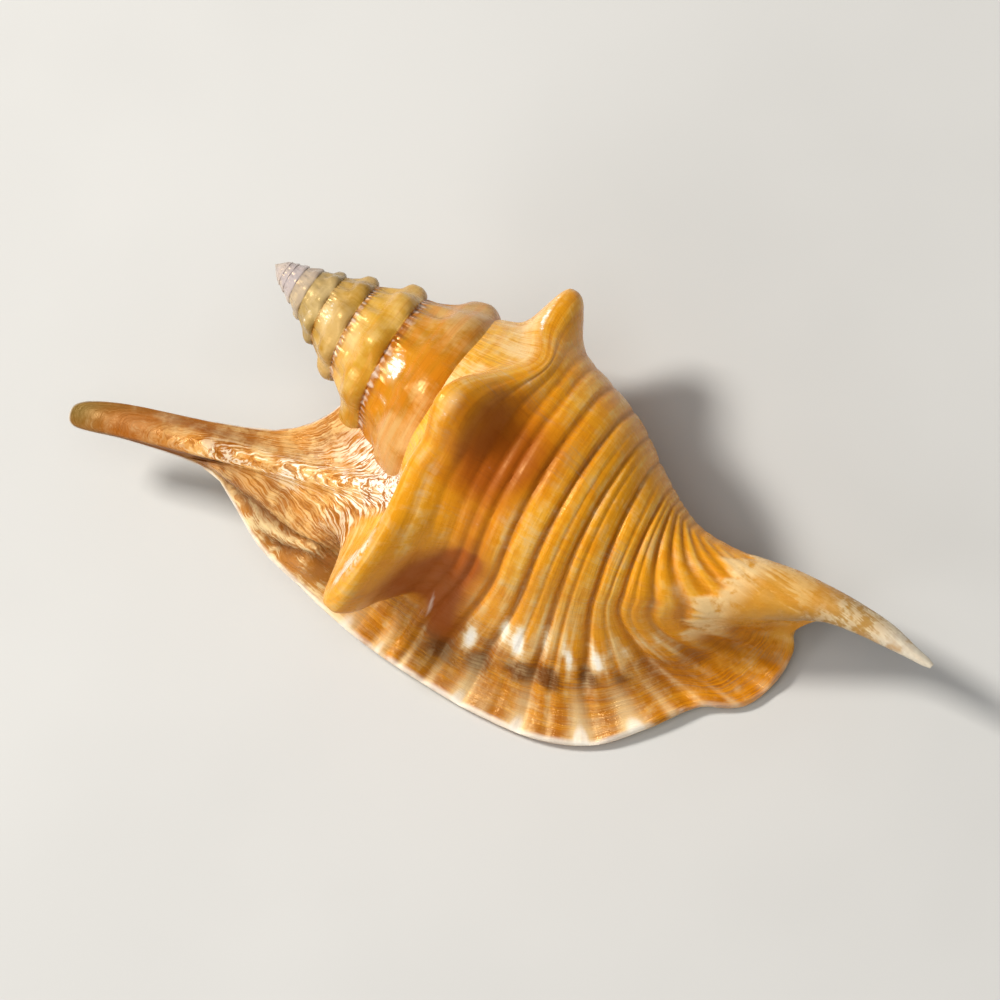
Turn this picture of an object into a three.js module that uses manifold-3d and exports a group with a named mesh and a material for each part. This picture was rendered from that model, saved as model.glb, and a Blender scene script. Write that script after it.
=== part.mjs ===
// A rooster conch shell, the empty shell of a large sea snail, as one solid with the hollow of its last
// whorl. The shell grows as a ribbon wound round an axis. One filled solid is the coil up to one turn
// before the lip. A second solid is the wall of the last whorl, a sheet with a thickness, which flares out
// into the winged lip. Shape coordinates, in millimetres: the tip of the spire is the origin and the
// coiling axis is z, with the spire towards +z. y points out of the shell's back, and x towards the lip.
// "depth" is the distance below the tip.
import * as THREE from "three";
import Module from "manifold-3d";
import { mergeVertices } from "three/addons/utils/BufferGeometryUtils.js";

// Coiling. A turn is one whorl, and turn 0 is on the side away from the lip, in the body whorl.
const GROWTH = 1.48;
const LATE_GROWTH = 0.85;
const WHORLS_BELOW_TIP = 8;
const COIL_END = -0.46;
const ROOT_TURN = 0.4;
const SUTURE_RADIUS = 14.6;
const SUTURE_EXTRA = 1.1;
const SUTURE_DEPTH = 36.2;
const SHOULDER_RADIUS = 19.8;
const SPIRE_SHOULDER_RADIUS = 20.6;
const SPIRE_SHOULDER_EXTRA = 1;
const EARLY_SHOULDER_DEPTH = 46.2;
const PILLAR_DEPTH = 90;
const FULL_DEPTH = 131.5;

// Depth of the shoulder, which sinks less and less in the last turn: [turn, depth].
const SHOULDER_DEPTH = [
  [-1, 31.2],
  [-0.5, 37],
  [0, 42.7],
  [0.25, 45],
  [0.45, 46],
];

// The wing starts to climb the spire a little before its root: the turn where it starts, and how far it
// gets.
const CLIMB_FROM = 0.27;
const CLIMB = 2;

// Lanes run along the shell's growth from the suture, 0, to the end of the canal, 1.
const SHOULDER_LANE = 0.14;
const PERIPHERY_LANE = 0.24;

// Where the lower lanes lie at each stage of growth: [turn, radius, depth].
const LOWER_LANES = [
  {
    lane: PERIPHERY_LANE,
    keys: [
      [-0.46, 18.2, 43.4],
      [-0.25, 18.9, 46.2],
      [0, 20.2, 49.5],
      [0.25, 21.8, 52],
      [0.4, 22.8, 54],
    ],
  },
  {
    lane: 0.42,
    keys: [
      [-1.46, 9.5, 38],
      [-0.46, 14.5, 53],
      [-0.25, 16.5, 59],
      [0, 17.2, 65],
      [0.25, 18.5, 67],
      [0.4, 19.5, 68],
    ],
  },
  {
    lane: 0.62,
    keys: [
      [-1.46, 6, 50],
      [-0.46, 8.5, 66],
      [-0.25, 11.5, 71],
      [0, 12, 76],
      [0.25, 13, 78],
      [0.4, 14, 79],
    ],
  },
  {
    lane: 0.8,
    keys: [
      [-1.46, 4.5, 62],
      [-0.46, 5.5, 77],
      [-0.25, 7.5, 83],
      [0, 8.4, 87],
      [0.25, 9, 88],
      [0.4, 9.5, 88],
    ],
  },
  {
    lane: 0.9,
    keys: [
      [-1.46, 3.6, 76],
      [-0.46, 4.3, 84],
      [-0.25, 4.6, 102],
      [0, 4.6, 108],
      [0.25, 4.6, 108],
      [0.4, 4.8, 107],
    ],
  },
  {
    lane: 1,
    keys: [
      [-1.46, 2.6, PILLAR_DEPTH],
      [-0.46, 3.2, PILLAR_DEPTH],
      [-0.25, 2.4, 121],
      [-0.12, 1.5, FULL_DEPTH],
      [0, 1.5, FULL_DEPTH],
      [0.25, 1.5, FULL_DEPTH],
      [0.4, 1.5, FULL_DEPTH],
    ],
  },
];

// The canal bends away from the lip and up towards the back: [depth, x, y].
const CANAL_BEND = [
  [80, 0, 0],
  [86, -0.4, 0.2],
  [94, -3.2, 0.8],
  [103, -7.6, 2],
  [109, -9.8, 3],
  [114, -11.2, 4],
  [121, -12.6, 5.5],
  [FULL_DEPTH, -13.6, 8],
];

// Knobs on the shoulder: [turn, height]. Earlier whorls have SPIRE_KNOBS a turn, a share of the radius
// high.
const KNOBS = [
  [-0.87, 1.3],
  [-0.74, 1.2],
  [-0.61, 1.4],
  [-0.46, 2.2],
  [-0.24, 4],
  [0, 7.5],
  [0.25, 7.5],
];
const SPIRE_KNOBS = 8;
const SPIRE_KNOB_SHARE = 0.12;
const SPIRE_KNOBS_END = -0.93;
const KNOB_WIDTH = 5.5;
const KNOB_LANES = 0.055;

// Spiral ribs: how many there are from the shoulder down to each lane, and how high they stand on the
// whorl and at the lip.
const RIBS = [
  [0.15, 0],
  [0.24, 1.8],
  [0.42, 5],
  [0.62, 10],
  [0.8, 15],
];
const RIB_HEIGHT = 0.4;
const RIB_HEIGHT_AT_LIP = 0.7;

// The edge of the lip: [lane, x, y, depth], and the way that the lip runs out there with how far it keeps
// to it, in mm along x, y and the axis.
const LIP = [
  { lane: 0, at: [8.5, 1, 24.5], out: [0, -2, 14] },
  { lane: 0.012, at: [15.5, 0.5, 22.6], out: [1, -2, 14] },
  { lane: 0.024, at: [21.5, -1, 17.8], out: [0.5, -2, 14] },
  { lane: 0.036, at: [27.3, -2, 7.8], out: [1, -1, 13] },
  { lane: 0.048, at: [33.9, -3, -6], out: [2, -0.5, 12] },
  { lane: 0.058, at: [38.6, -3.8, -12.8], out: [4, 0, 11] },
  { lane: 0.066, at: [41.3, -4, -13.4], out: [6, 0, 10] },
  { lane: 0.074, at: [42.6, -4.2, -11], out: [7, 0, 8] },
  { lane: 0.084, at: [38.9, -4.2, -2.3], out: [7.5, 0, 8] },
  { lane: 0.096, at: [34.6, -4.4, 10.5], out: [10, 1, 9] },
  { lane: 0.104, at: [35.9, -4.6, 17.3], out: [16, 1, 10] },
  { lane: 0.114, at: [39.1, -5.4, 26], out: [24, 3, 8] },
  { lane: 0.126, at: [40.2, -6.8, 34], out: [30, 4, 4] },
  { lane: 0.145, at: [41, -8.6, 44], out: [32, 5, 1.5] },
  { lane: 0.2, at: [41.1, -9.6, 51.2], out: [31.5, 6, 0] },
  { lane: 0.29, at: [40.4, -9.3, 60], out: [30.5, 8, 0] },
  { lane: 0.4, at: [38.8, -8.4, 72], out: [29.5, 9.5, -1.5] },
  { lane: 0.5, at: [35.6, -7.4, 84], out: [27, 9.5, -9.5] },
  { lane: 0.59, at: [30.2, -7, 92.5], out: [17.5, 9, -20.5] },
  { lane: 0.66, at: [22.5, -7, 97.8], out: [7.5, 7.5, -23] },
  { lane: 0.72, at: [14.5, -7.6, 102.2], out: [2.5, 6.5, -24] },
  { lane: 0.77, at: [9.8, -8.5, 108], out: [0, 5.5, -26.5] },
  { lane: 0.81, at: [3.6, -8.5, 109.6], out: [-2.5, 5, -24.5] },
  { lane: 0.845, at: [-1.8, -8.2, 109], out: [-4, 2, -19.5] },
  { lane: 0.87, at: [-4.6, -6, 107.6], out: [-3, 0, -13.5] },
  { lane: 0.9, at: [-8.2, -2.5, 112], out: [0, -3.5, -9] },
  { lane: 0.94, at: [-10.7, 1.8, 120.5], out: [1.5, -4, -5] },
  { lane: 1, at: [-13.4, 7, 131.3], out: [0.5, -1.5, -1.5] },
];

// How steeply the top of the wing leaves the root column towards the spire.
const ROOT_RISE = 0.45;

// How far the wing keeps the direction it leaves the root with, at the suture and from the shoulder on.
const ROOT_KEEP = { suture: 14, shoulder: 32 };

// The last and largest knob, a horn on the wing: where it stands between root and lip, how far its tip
// reaches from there, how long it takes to rise and fall, and the lanes it takes above and below.
const HORN = {
  along: 0.34,
  lane: 0.137,
  reach: [15, 2.5, -2],
  rise: 16,
  fall: 5.5,
  above: 0.028,
  below: 0.045,
};

// The wing is dished between the finger and the horn: the middle of the dish, x and depth, how deep and
// how wide.
const DISH = { at: [26, 26], depth: 2.5, width: 11 };

// The finger of the wing is rounded along its back: the line it follows, its height and its half width.
const FINGER = {
  from: [26, -3, -20],
  to: [41.2, -4, 12],
  height: 2,
  width: 5.5,
  taper: 0.3,
};

// Wall thickness on the whorl, at the end of the canal and at the lip.
const WALL = 2.4;
const CANAL_WALL = 0.9;
const LIP_WALL = 1.7;

// The wall starts sunk into the coil and comes up out of it just before the coil ends, to stand a little
// above it.
const WALL_START = -0.52;
const SUNK = 2.2;
const PROUD = 0.3;
const PROUD_FROM = -0.485;
const PROUD_UNTIL = -0.43;
const PROUD_OVER = -0.33;

// How finely the surfaces are divided.
const COLUMNS = 36;
const SPIRE_LANES = [0, 0.07, 0.14, 0.19, PERIPHERY_LANE];
const PILLAR_LANES = [0.33, 0.42, 0.52, 0.66, 0.82, 1];
const WALL_COLUMNS = 34;
const WING_ALONGS = [
  0.06, 0.12, 0.18, 0.24, 0.29, 0.34, 0.38, 0.42, 0.46, 0.5, 0.56, 0.62, 0.69, 0.76, 0.84, 0.92, 1,
];
const TOP_LANES = [
  -0.012, 0.012, 0.024, 0.036, 0.048, 0.058, 0.066, 0.074, 0.085, 0.096, 0.104, 0.112, 0.12, 0.128,
  0.137, 0.146,
];
const CORNER_LANES = [0.058, 0.074, 0.096];
const RIBBED_HALVES = 22;
const NECK_LANES = [0.66, 0.7, 0.74, 0.78, 0.81, 0.845, 0.87, 0.9, 0.94, 1];

const mix = (a, b, t) => a + (b - a) * t;
const clamp01 = (t) => Math.min(Math.max(t, 0), 1);
const smooth = (t) => clamp01(t) ** 2 * (3 - 2 * clamp01(t));
const bump = (distance, width) => Math.exp(-((distance / width) ** 2));
const vector = (values) => new THREE.Vector3(...values);

// A smooth curve through rows of [parameter, values...], which goes on straight past its ends.
function through(keys) {
  const last = keys.length - 1;
  const slopes = keys.map((key, i) => {
    const [before, after] = [keys[Math.max(i - 1, 0)], keys[Math.min(i + 1, last)]];
    return key.map((_, c) => (after[c] - before[c]) / (after[0] - before[0]));
  });
  return (t) => {
    let i = 0;
    while (i < last - 1 && t > keys[i + 1][0]) i++;
    const [a, b] = [keys[i], keys[i + 1]];
    const span = b[0] - a[0];
    const u = clamp01((t - a[0]) / span);
    const over = Math.max(t - keys[last][0], 0);
    const under = Math.min(t - keys[0][0], 0);
    return a.slice(1).map((value, k) => {
      const c = k + 1;
      const ends = value * (1 + 2 * u) * (1 - u) ** 2 + b[c] * u * u * (3 - 2 * u);
      const tangents = slopes[i][c] * u * (1 - u) ** 2 + slopes[i + 1][c] * u * u * (u - 1);
      return ends + tangents * span + over * slopes[last][c] + under * slopes[0][c];
    });
  };
}

const size = (turn) => GROWTH ** (turn < 0 ? turn : LATE_GROWTH * turn);
const shoulderDepth = through(SHOULDER_DEPTH);
const lowerLanes = LOWER_LANES.map(({ lane, keys }) => ({ lane, at: through(keys), first: keys[0] }));
const bend = through(CANAL_BEND);
const ribCount = through(RIBS);
const lipEdge = through(LIP.map(({ lane, at: [x, y, depth] }) => [lane, x, y, -depth]));
const lipOut = through(LIP.map(({ lane, out }) => [lane, ...out]));

// Lane, radius and depth of the shell's main lanes at a stage of growth.
function mainLanes(turn) {
  const grown = size(turn);
  const climb = CLIMB * smooth((turn - CLIMB_FROM) / (ROOT_TURN - CLIMB_FROM));
  const suture = [SUTURE_RADIUS * grown + SUTURE_EXTRA - climb / 2, SUTURE_DEPTH * grown - climb];
  const late = smooth(turn + 1.5);
  const wide = mix(SPIRE_SHOULDER_RADIUS * grown + SPIRE_SHOULDER_EXTRA, SHOULDER_RADIUS * grown, late);
  const shoulder = [wide, turn < -1 ? EARLY_SHOULDER_DEPTH * grown : shoulderDepth(turn)[0]];
  const rows = [
    [0, ...suture],
    [SHOULDER_LANE / 2, mix(suture[0], shoulder[0], 0.5), mix(suture[1], shoulder[1], 0.6)],
    [SHOULDER_LANE, ...shoulder],
  ];
  for (const { lane, at, first } of lowerLanes) {
    const next = size(turn + 1);
    const smaller = grown / size(COIL_END - 1);
    if (lane === PERIPHERY_LANE && turn < COIL_END)
      rows.push([lane, SUTURE_RADIUS * next + SUTURE_EXTRA, SUTURE_DEPTH * next]);
    else if (turn < COIL_END - 1) rows.push([lane, first[1] * smaller, first[2] * smaller]);
    else rows.push([lane, ...at(turn)]);
  }
  return rows;
}

function knobHeight(turn, radius) {
  const width = KNOB_WIDTH / (2 * Math.PI * Math.max(radius, 1));
  let height = 0;
  for (const [at, tall] of KNOBS) height += tall * bump(turn - at, width);
  if (turn < SPIRE_KNOBS_END)
    height += SPIRE_KNOB_SHARE * radius * (0.5 + 0.5 * Math.cos(2 * Math.PI * SPIRE_KNOBS * (turn + 1)));
  return height;
}

function ribHeight(turn, along, lane) {
  const fade = clamp01((lane - 0.155) / 0.03) * clamp01((0.86 - lane) / 0.06) * clamp01((turn + 0.55) / 0.3);
  return (fade * mix(RIB_HEIGHT, RIB_HEIGHT_AT_LIP, along) * Math.cos(2 * Math.PI * ribCount(lane)[0])) / 2;
}

// A point on the coiled part of the shell, with or without its knobs and ribs.
function whorlPoint(turn, lane, carved) {
  let [radius, depth] = through(mainLanes(turn))(lane);
  if (carved) {
    radius += knobHeight(turn, radius) * bump(lane - SHOULDER_LANE, KNOB_LANES);
    radius += ribHeight(turn, 0, lane);
  }
  const [x, y] = bend(Math.min(Math.max(depth, CANAL_BEND[0][0]), FULL_DEPTH));
  const angle = 2 * Math.PI * (turn - 0.25);
  return new THREE.Vector3(x + radius * Math.sin(angle), y + radius * Math.cos(angle), -depth);
}

// A point on the wing, which runs from the root column, along 0, to the edge of the lip, along 1.
function wingPoint(along, lane, carved) {
  const step = 0.002;
  const start = whorlPoint(ROOT_TURN, lane, carved);
  const leave = start.clone().sub(whorlPoint(ROOT_TURN - step, lane, carved)).normalize();
  leave.z += ROOT_RISE * (1 - clamp01(lane / SHOULDER_LANE));
  const end = vector(lipEdge(lane));
  const reach = start.distanceTo(end);
  const keep = Math.min(reach, mix(ROOT_KEEP.suture, ROOT_KEEP.shoulder, clamp01(lane / SHOULDER_LANE)));
  const p = new THREE.Vector3()
    .addScaledVector(start, (1 + 2 * along) * (1 - along) ** 2)
    .addScaledVector(leave.normalize(), keep * along * (1 - along) ** 2)
    .addScaledVector(end, along * along * (3 - 2 * along))
    .addScaledVector(vector(lipOut(lane)), along * along * (along - 1));
  p.y -= DISH.depth * bump(Math.hypot(p.x - DISH.at[0], p.z + DISH.at[1]), DISH.width);
  if (!carved) return p;
  const [a, b] = [(along - HORN.along) * reach, lane - HORN.lane];
  const [long, wide] = [a < 0 ? HORN.rise : HORN.fall, b < 0 ? HORN.above : HORN.below];
  p.addScaledVector(vector(HORN.reach), Math.exp(-(Math.abs(a / long) ** 2) - Math.abs(b / wide) ** 2.5));
  const line = vector(FINGER.to).sub(vector(FINGER.from));
  const offset = p.clone().sub(vector(FINGER.from));
  const t = offset.dot(line) / line.lengthSq();
  offset.addScaledVector(line, -t);
  const width = FINGER.width * (1 - FINGER.taper * clamp01(t));
  const lift = FINGER.height * smooth(t / 0.4) * smooth((1.06 - t) / 0.2) * (1 - FINGER.taper * t);
  p.y += lift * bump(Math.hypot(offset.x, offset.z), width);
  return p;
}

// Gathers vertices and faces for one closed solid. Faces come in clockwise seen from outside, and are
// stored the other way round.
class Skin {
  constructor() {
    this.places = [];
    this.faces = [];
  }
  add(p) {
    this.places.push(p.x, p.y, p.z);
    return this.places.length / 3 - 1;
  }
  face(a, b, c) {
    if (a !== b && b !== c && c !== a) this.faces.push(a, c, b);
  }
  quad(a, b, c, d) {
    this.face(a, b, c);
    this.face(a, c, d);
  }
  // Fills between two chains of vertices that run the same way, whose places along the way are also given.
  strip(one, other, oneAt, otherAt) {
    let [i, j] = [0, 0];
    const [m, n] = [one.length - 1, other.length - 1];
    while (i < m || j < n) {
      if (j === n || (i < m && oneAt[i + 1] <= otherAt[j + 1])) {
        this.face(one[i], one[i + 1], other[j]);
        i++;
      } else {
        this.face(one[i], other[j + 1], other[j]);
        j++;
      }
    }
  }
}

// The filled coil. A whorl's lowest lane in the spire is the next whorl's suture, so those vertices are
// shared.
function coilSkin() {
  const skin = new Skin();
  const seam = SPIRE_LANES.length - 1;
  const lanes = [...SPIRE_LANES, ...PILLAR_LANES];
  const last = lanes.length - 1;
  const total = WHORLS_BELOW_TIP * COLUMNS;
  const open = total - COLUMNS;
  const tip = skin.add(new THREE.Vector3(0, 0, 0));
  const ids = [];
  for (let i = 0; i <= total; i++) {
    const turn = COIL_END - (total - i) / COLUMNS;
    ids.push([]);
    lanes.forEach((lane, j) => {
      if (i < open && j >= seam) return;
      if (i === 0 || (j === 0 && i <= COLUMNS)) ids[i].push(tip);
      else if (i === open && j === seam) ids[i].push(-1);
      else ids[i].push(skin.add(whorlPoint(turn, lane, true)));
    });
  }
  const id = (i, j) => (j === seam && i <= open ? ids[i + COLUMNS][0] : ids[i][j]);
  for (let i = 0; i < total; i++)
    for (let j = 0; j < (i >= open ? last : seam); j++)
      skin.quad(id(i, j), id(i, j + 1), id(i + 1, j + 1), id(i + 1, j));
  // The step where the coil ends, then the flat end of its pillar.
  const inner = lanes.slice(seam).map((_, j) => id(open, seam + j));
  const innerAt = lanes.slice(seam).map((lane) => (lane - PERIPHERY_LANE) / (1 - PERIPHERY_LANE));
  skin.strip(ids[total], inner, lanes, innerAt);
  const foot = skin.add(new THREE.Vector3(0, 0, -PILLAR_DEPTH));
  for (let i = open; i < total; i++) skin.face(id(i, last), foot, id(i + 1, last));
  skin.face(id(total, last), foot, id(open, last));
  return skin;
}

// Lanes of the wall, which starts a little inside the coil: the top of the wing, then a rib's crest and
// the groove beside it by turns, then the neck.
function wallLanes() {
  const ribbed = [];
  for (let half = 0; half <= RIBBED_HALVES; half++) {
    let [low, high] = [RIBS[0][0], RIBS[RIBS.length - 1][0]];
    for (let k = 0; k < 30; k++) {
      const middle = (low + high) / 2;
      if (ribCount(middle)[0] < half / 2) low = middle;
      else high = middle;
    }
    ribbed.push(low);
  }
  return [...TOP_LANES, ...ribbed.slice(1), ...NECK_LANES];
}

// Every second entry of a list, with its last one and any that have to stay.
function everySecond(list, kept = []) {
  return list.filter((entry, i) => i % 2 === 0 || i === list.length - 1 || kept.includes(entry));
}

// One skin of the wall as a grid of points, moved by a distance along the surface's normal.
function wallGrid(places, lanes, carved, distance) {
  const point = ({ turn, along }, lane) =>
    along > 0 ? wingPoint(along, lane, carved) : whorlPoint(turn, lane, carved);
  const grid = places.map((place) => lanes.map((lane) => point(place, lane)));
  const [m, n] = [places.length - 1, lanes.length - 1];
  return grid.map((column, i) =>
    column.map((p, j) => {
      const across = grid[Math.min(i + 1, m)][j].clone().sub(grid[Math.max(i - 1, 0)][j]);
      const down = column[Math.min(j + 1, n)].clone().sub(column[Math.max(j - 1, 0)]);
      return p.clone().addScaledVector(across.cross(down).normalize(), distance(places[i], lanes[j]));
    }),
  );
}

// The wall of the last whorl and the wing: an outer skin with knobs and ribs, a smooth inner skin, and the
// rims.
function wallSkin() {
  const skin = new Skin();
  const places = [];
  for (let i = 0; i <= WALL_COLUMNS; i++)
    places.push({ turn: mix(WALL_START, ROOT_TURN, i / WALL_COLUMNS), along: 0 });
  for (const along of WING_ALONGS) places.push({ turn: ROOT_TURN, along });
  const lanes = wallLanes();
  const lift = ({ turn, along }) => {
    if (along > 0 || turn > PROUD_OVER) return 0;
    if (turn > PROUD_UNTIL) return (PROUD * (PROUD_OVER - turn)) / (PROUD_OVER - PROUD_UNTIL);
    return mix(-SUNK, PROUD, clamp01((turn - WALL_START) / (PROUD_FROM - WALL_START)));
  };
  const thickness = ({ along }, lane) =>
    mix(mix(WALL, CANAL_WALL, clamp01((lane - 0.8) / 0.2)), LIP_WALL, along ** 2);
  const store = (grid) => grid.map((column) => column.map((p) => skin.add(p)));
  const outer = store(wallGrid(places, lanes, true, lift));
  const innerPlaces = everySecond(places);
  const innerLanes = everySecond(lanes, CORNER_LANES);
  const deep = (place, lane) => Math.min(lift(place), 0) - thickness(place, lane);
  const inner = store(wallGrid(innerPlaces, innerLanes, false, deep));
  const fill = (grid, flip) => {
    for (let i = 0; i < grid.length - 1; i++)
      for (let j = 0; j < grid[0].length - 1; j++) {
        const [a, b, c, d] = [grid[i][j], grid[i][j + 1], grid[i + 1][j + 1], grid[i + 1][j]];
        if (flip) skin.quad(a, d, c, b);
        else skin.quad(a, b, c, d);
      }
  };
  fill(outer, false);
  fill(inner, true);
  const edge = (grid, j) => grid.map((column) => column.at(j));
  const way = (list) => list.map(({ turn, along }) => turn + along);
  const [outerTurns, innerTurns] = [way(places), way(innerPlaces)];
  skin.strip(edge(outer, 0), edge(inner, 0), outerTurns, innerTurns);
  skin.strip(edge(inner, -1), edge(outer, -1), innerTurns, outerTurns);
  skin.strip(inner[0], outer[0], innerLanes, lanes);
  skin.strip(outer.at(-1), inner.at(-1), lanes, innerLanes);
  return skin;
}

const wasm = await Module();
wasm.setup();

function solidOf(skin) {
  const loose = new THREE.BufferGeometry()
    .setAttribute("position", new THREE.BufferAttribute(new Float32Array(skin.places), 3))
    .setIndex(skin.faces);
  const { attributes, index } = mergeVertices(loose, 1e-4);
  const triVerts = new Uint32Array(index.array);
  const vertProperties = attributes.position.array;
  return new wasm.Manifold(new wasm.Mesh({ numProp: 3, vertProperties, triVerts }));
}

function geometryOf(solid) {
  const { vertProperties, triVerts } = solid.getMesh();
  return new THREE.BufferGeometry()
    .setAttribute("position", new THREE.BufferAttribute(new Float32Array(vertProperties), 3))
    .setIndex(new THREE.BufferAttribute(new Uint32Array(triVerts), 1));
}

// How the shell lies: the canal towards +X, the lip towards -Y and its back up, then turned to rest on its
// lip.
const ROLL_DEGREES = 9.57;
const PITCH_DEGREES = 8.51;

const shellSolid = solidOf(coilSkin()).add(solidOf(wallSkin()));
const geometry = geometryOf(shellSolid);
geometry.applyMatrix4(new THREE.Matrix4().set(0, 0, -1, 0, -1, 0, 0, 0, 0, 1, 0, 0, 0, 0, 0, 1));
geometry.rotateX(THREE.MathUtils.degToRad(ROLL_DEGREES));
geometry.rotateY(THREE.MathUtils.degToRad(PITCH_DEGREES));
geometry.computeBoundingBox();
const box = geometry.boundingBox;
geometry.translate(-(box.min.x + box.max.x) / 2, -(box.min.y + box.max.y) / 2, -box.min.z);
geometry.computeVertexNormals();

const material = new THREE.MeshStandardMaterial({ color: 0xd08a35, roughness: 0.4, metalness: 0 });
const shell = new THREE.Mesh(geometry, material);
shell.name = "shell";

const group = new THREE.Group();
group.add(shell);
export default group;
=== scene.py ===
"""Rooster conch shell: the finished shell, its studio floor, lights and camera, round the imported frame."""
import math

import bmesh
import bpy
import numpy as np
from mathutils import Matrix, Vector


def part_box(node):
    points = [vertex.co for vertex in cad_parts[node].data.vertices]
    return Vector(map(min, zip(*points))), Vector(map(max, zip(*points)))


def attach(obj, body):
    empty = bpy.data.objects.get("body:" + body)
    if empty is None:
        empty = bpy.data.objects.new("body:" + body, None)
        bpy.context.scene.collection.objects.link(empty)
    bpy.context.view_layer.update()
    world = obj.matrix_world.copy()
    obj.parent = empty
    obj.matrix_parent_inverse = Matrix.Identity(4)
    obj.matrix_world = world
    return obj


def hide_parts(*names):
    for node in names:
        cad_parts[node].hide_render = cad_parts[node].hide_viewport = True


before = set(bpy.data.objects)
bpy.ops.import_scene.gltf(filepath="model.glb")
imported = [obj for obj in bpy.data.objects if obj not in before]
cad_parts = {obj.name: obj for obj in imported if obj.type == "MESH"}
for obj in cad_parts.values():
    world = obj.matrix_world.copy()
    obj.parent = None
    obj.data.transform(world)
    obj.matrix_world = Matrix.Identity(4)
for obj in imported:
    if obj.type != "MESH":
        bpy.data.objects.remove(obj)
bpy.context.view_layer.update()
MM = 0.001

# Shape coordinates, in millimetres: the tip of the spire is the origin, z runs up the coiling axis towards
# the spire, y points out of the back and x towards the lip. A turn is one whorl. Lanes run along the growth,
# from 0 at the suture to 1 at the end of the canal. Along is how far out on the wing a place is, from 0 at
# its root to 1 at its edge, and the age is the turn, or past the root the root's turn plus along.

# Each whorl is this many times larger than the one before, and the last one grows a little more slowly.
GROWTH = 1.48
LATE_GROWTH = 0.85

# The filled coil has this many whorls. It ends at one turn, and the wing starts at another.
WHORLS = 8
COIL_END = -0.46
ROOT_TURN = 0.4

# Radius and depth of the suture and the shoulder at turn 0, and what the small whorls of the spire have more.
SUTURE_RADIUS = 14.6
SUTURE_EXTRA = 1.1
SUTURE_DEPTH = 36.2
SHOULDER_RADIUS = 19.8
SPIRE_SHOULDER_RADIUS = 20.6
SPIRE_SHOULDER_EXTRA = 1
SPIRE_SHOULDER_UNTIL = -1.5
EARLY_SHOULDER_DEPTH = 46.2
PILLAR_DEPTH = 90
FULL_DEPTH = 131.5

# Towards the wing the suture climbs this much, from this turn on.
CLIMB = 2
CLIMB_FROM = 0.27

# The lanes of the shoulder and of the widest part below it.
SHOULDER_LANE = 0.14
PERIPHERY_LANE = 0.24

# Depth of the shoulder: turn, depth.
SHOULDER_DEPTH = [(-1, 31.2), (-0.5, 37), (0, 42.7), (0.25, 45), (0.45, 46)]

# The lower lanes at each stage of growth: turn, radius, depth.
LOWER_LANES = {
    PERIPHERY_LANE: [(-0.46, 18.2, 43.4), (-0.25, 18.9, 46.2), (0, 20.2, 49.5), (0.25, 21.8, 52),
                     (0.4, 22.8, 54)],
    0.42: [(-1.46, 9.5, 38), (-0.46, 14.5, 53), (-0.25, 16.5, 59), (0, 17.2, 65), (0.25, 18.5, 67),
           (0.4, 19.5, 68)],
    0.62: [(-1.46, 6, 50), (-0.46, 8.5, 66), (-0.25, 11.5, 71), (0, 12, 76), (0.25, 13, 78), (0.4, 14, 79)],
    0.8: [(-1.46, 4.5, 62), (-0.46, 5.5, 77), (-0.25, 7.5, 83), (0, 8.4, 87), (0.25, 9, 88), (0.4, 9.5, 88)],
    0.9: [(-1.46, 3.6, 76), (-0.46, 4.3, 84), (-0.25, 4.6, 102), (0, 4.6, 108), (0.25, 4.6, 108),
          (0.4, 4.8, 107)],
    1: [(-1.46, 2.6, 90), (-0.46, 3.2, 90), (-0.25, 2.4, 121), (-0.12, 1.5, 131.5), (0, 1.5, 131.5),
        (0.25, 1.5, 131.5), (0.4, 1.5, 131.5)],
}

# The canal's bend: depth, x, y.
CANAL_BEND = [(80, 0, 0), (86, -0.4, 0.2), (94, -3.2, 0.8), (103, -7.6, 2), (109, -9.8, 3), (114, -11.2, 4),
              (121, -12.6, 5.5), (FULL_DEPTH, -13.6, 8)]

# Knobs on the shoulder: turn, height. The spire has smaller ones, as a share of its radius, that start faint.
KNOBS = [(-0.87, 1.3), (-0.74, 1.2), (-0.61, 1.4), (-0.46, 2.2), (-0.24, 4), (0, 7.5), (0.25, 7.5)]
SPIRE_KNOBS = 8
SPIRE_KNOB_SHARE = 0.12
SPIRE_KNOBS_FULL = {"from": -5.5, "over": 2.5, "faint": 0.35}
SPIRE_KNOBS_END = -0.93
KNOB_WIDTH = 5.8
KNOB_SQUARENESS = 2.7
KNOB_LANE = 0.15
KNOB_ABOVE = 0.055
KNOB_BELOW = 0.08

# The middle knob leans back towards the spire.
LEAN = {"turn": 0.25, "long": 0.045, "lane": 0.13, "wide": 0.055, "back": 2.6}

# Between its last knobs the shoulder runs lower down the whorl: turn, drop, half length in turns.
DIPS = [(0.13, 4.8, 0.06), (0.33, -1.6, 0.035)]
DIP_LANES = 0.09

# Faint ripples on the spire, as a share of its radius. Of each wave: how often it comes in a turn, slant,
# start, strength.
RIPPLE = {"height": 0.028, "lane": 0.075, "wide": 0.06, "until": -0.5}
RIPPLE_WAVES = [(12.7, 16, 0, 1), (20.3, -22, 1, 0.7)]

# The hollow between the middle knob and the horn.
HOLLOW = {"turn": 0.2, "lane": 0.27, "long": 0.13, "wide": 0.06, "depth": 1.2}

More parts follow.
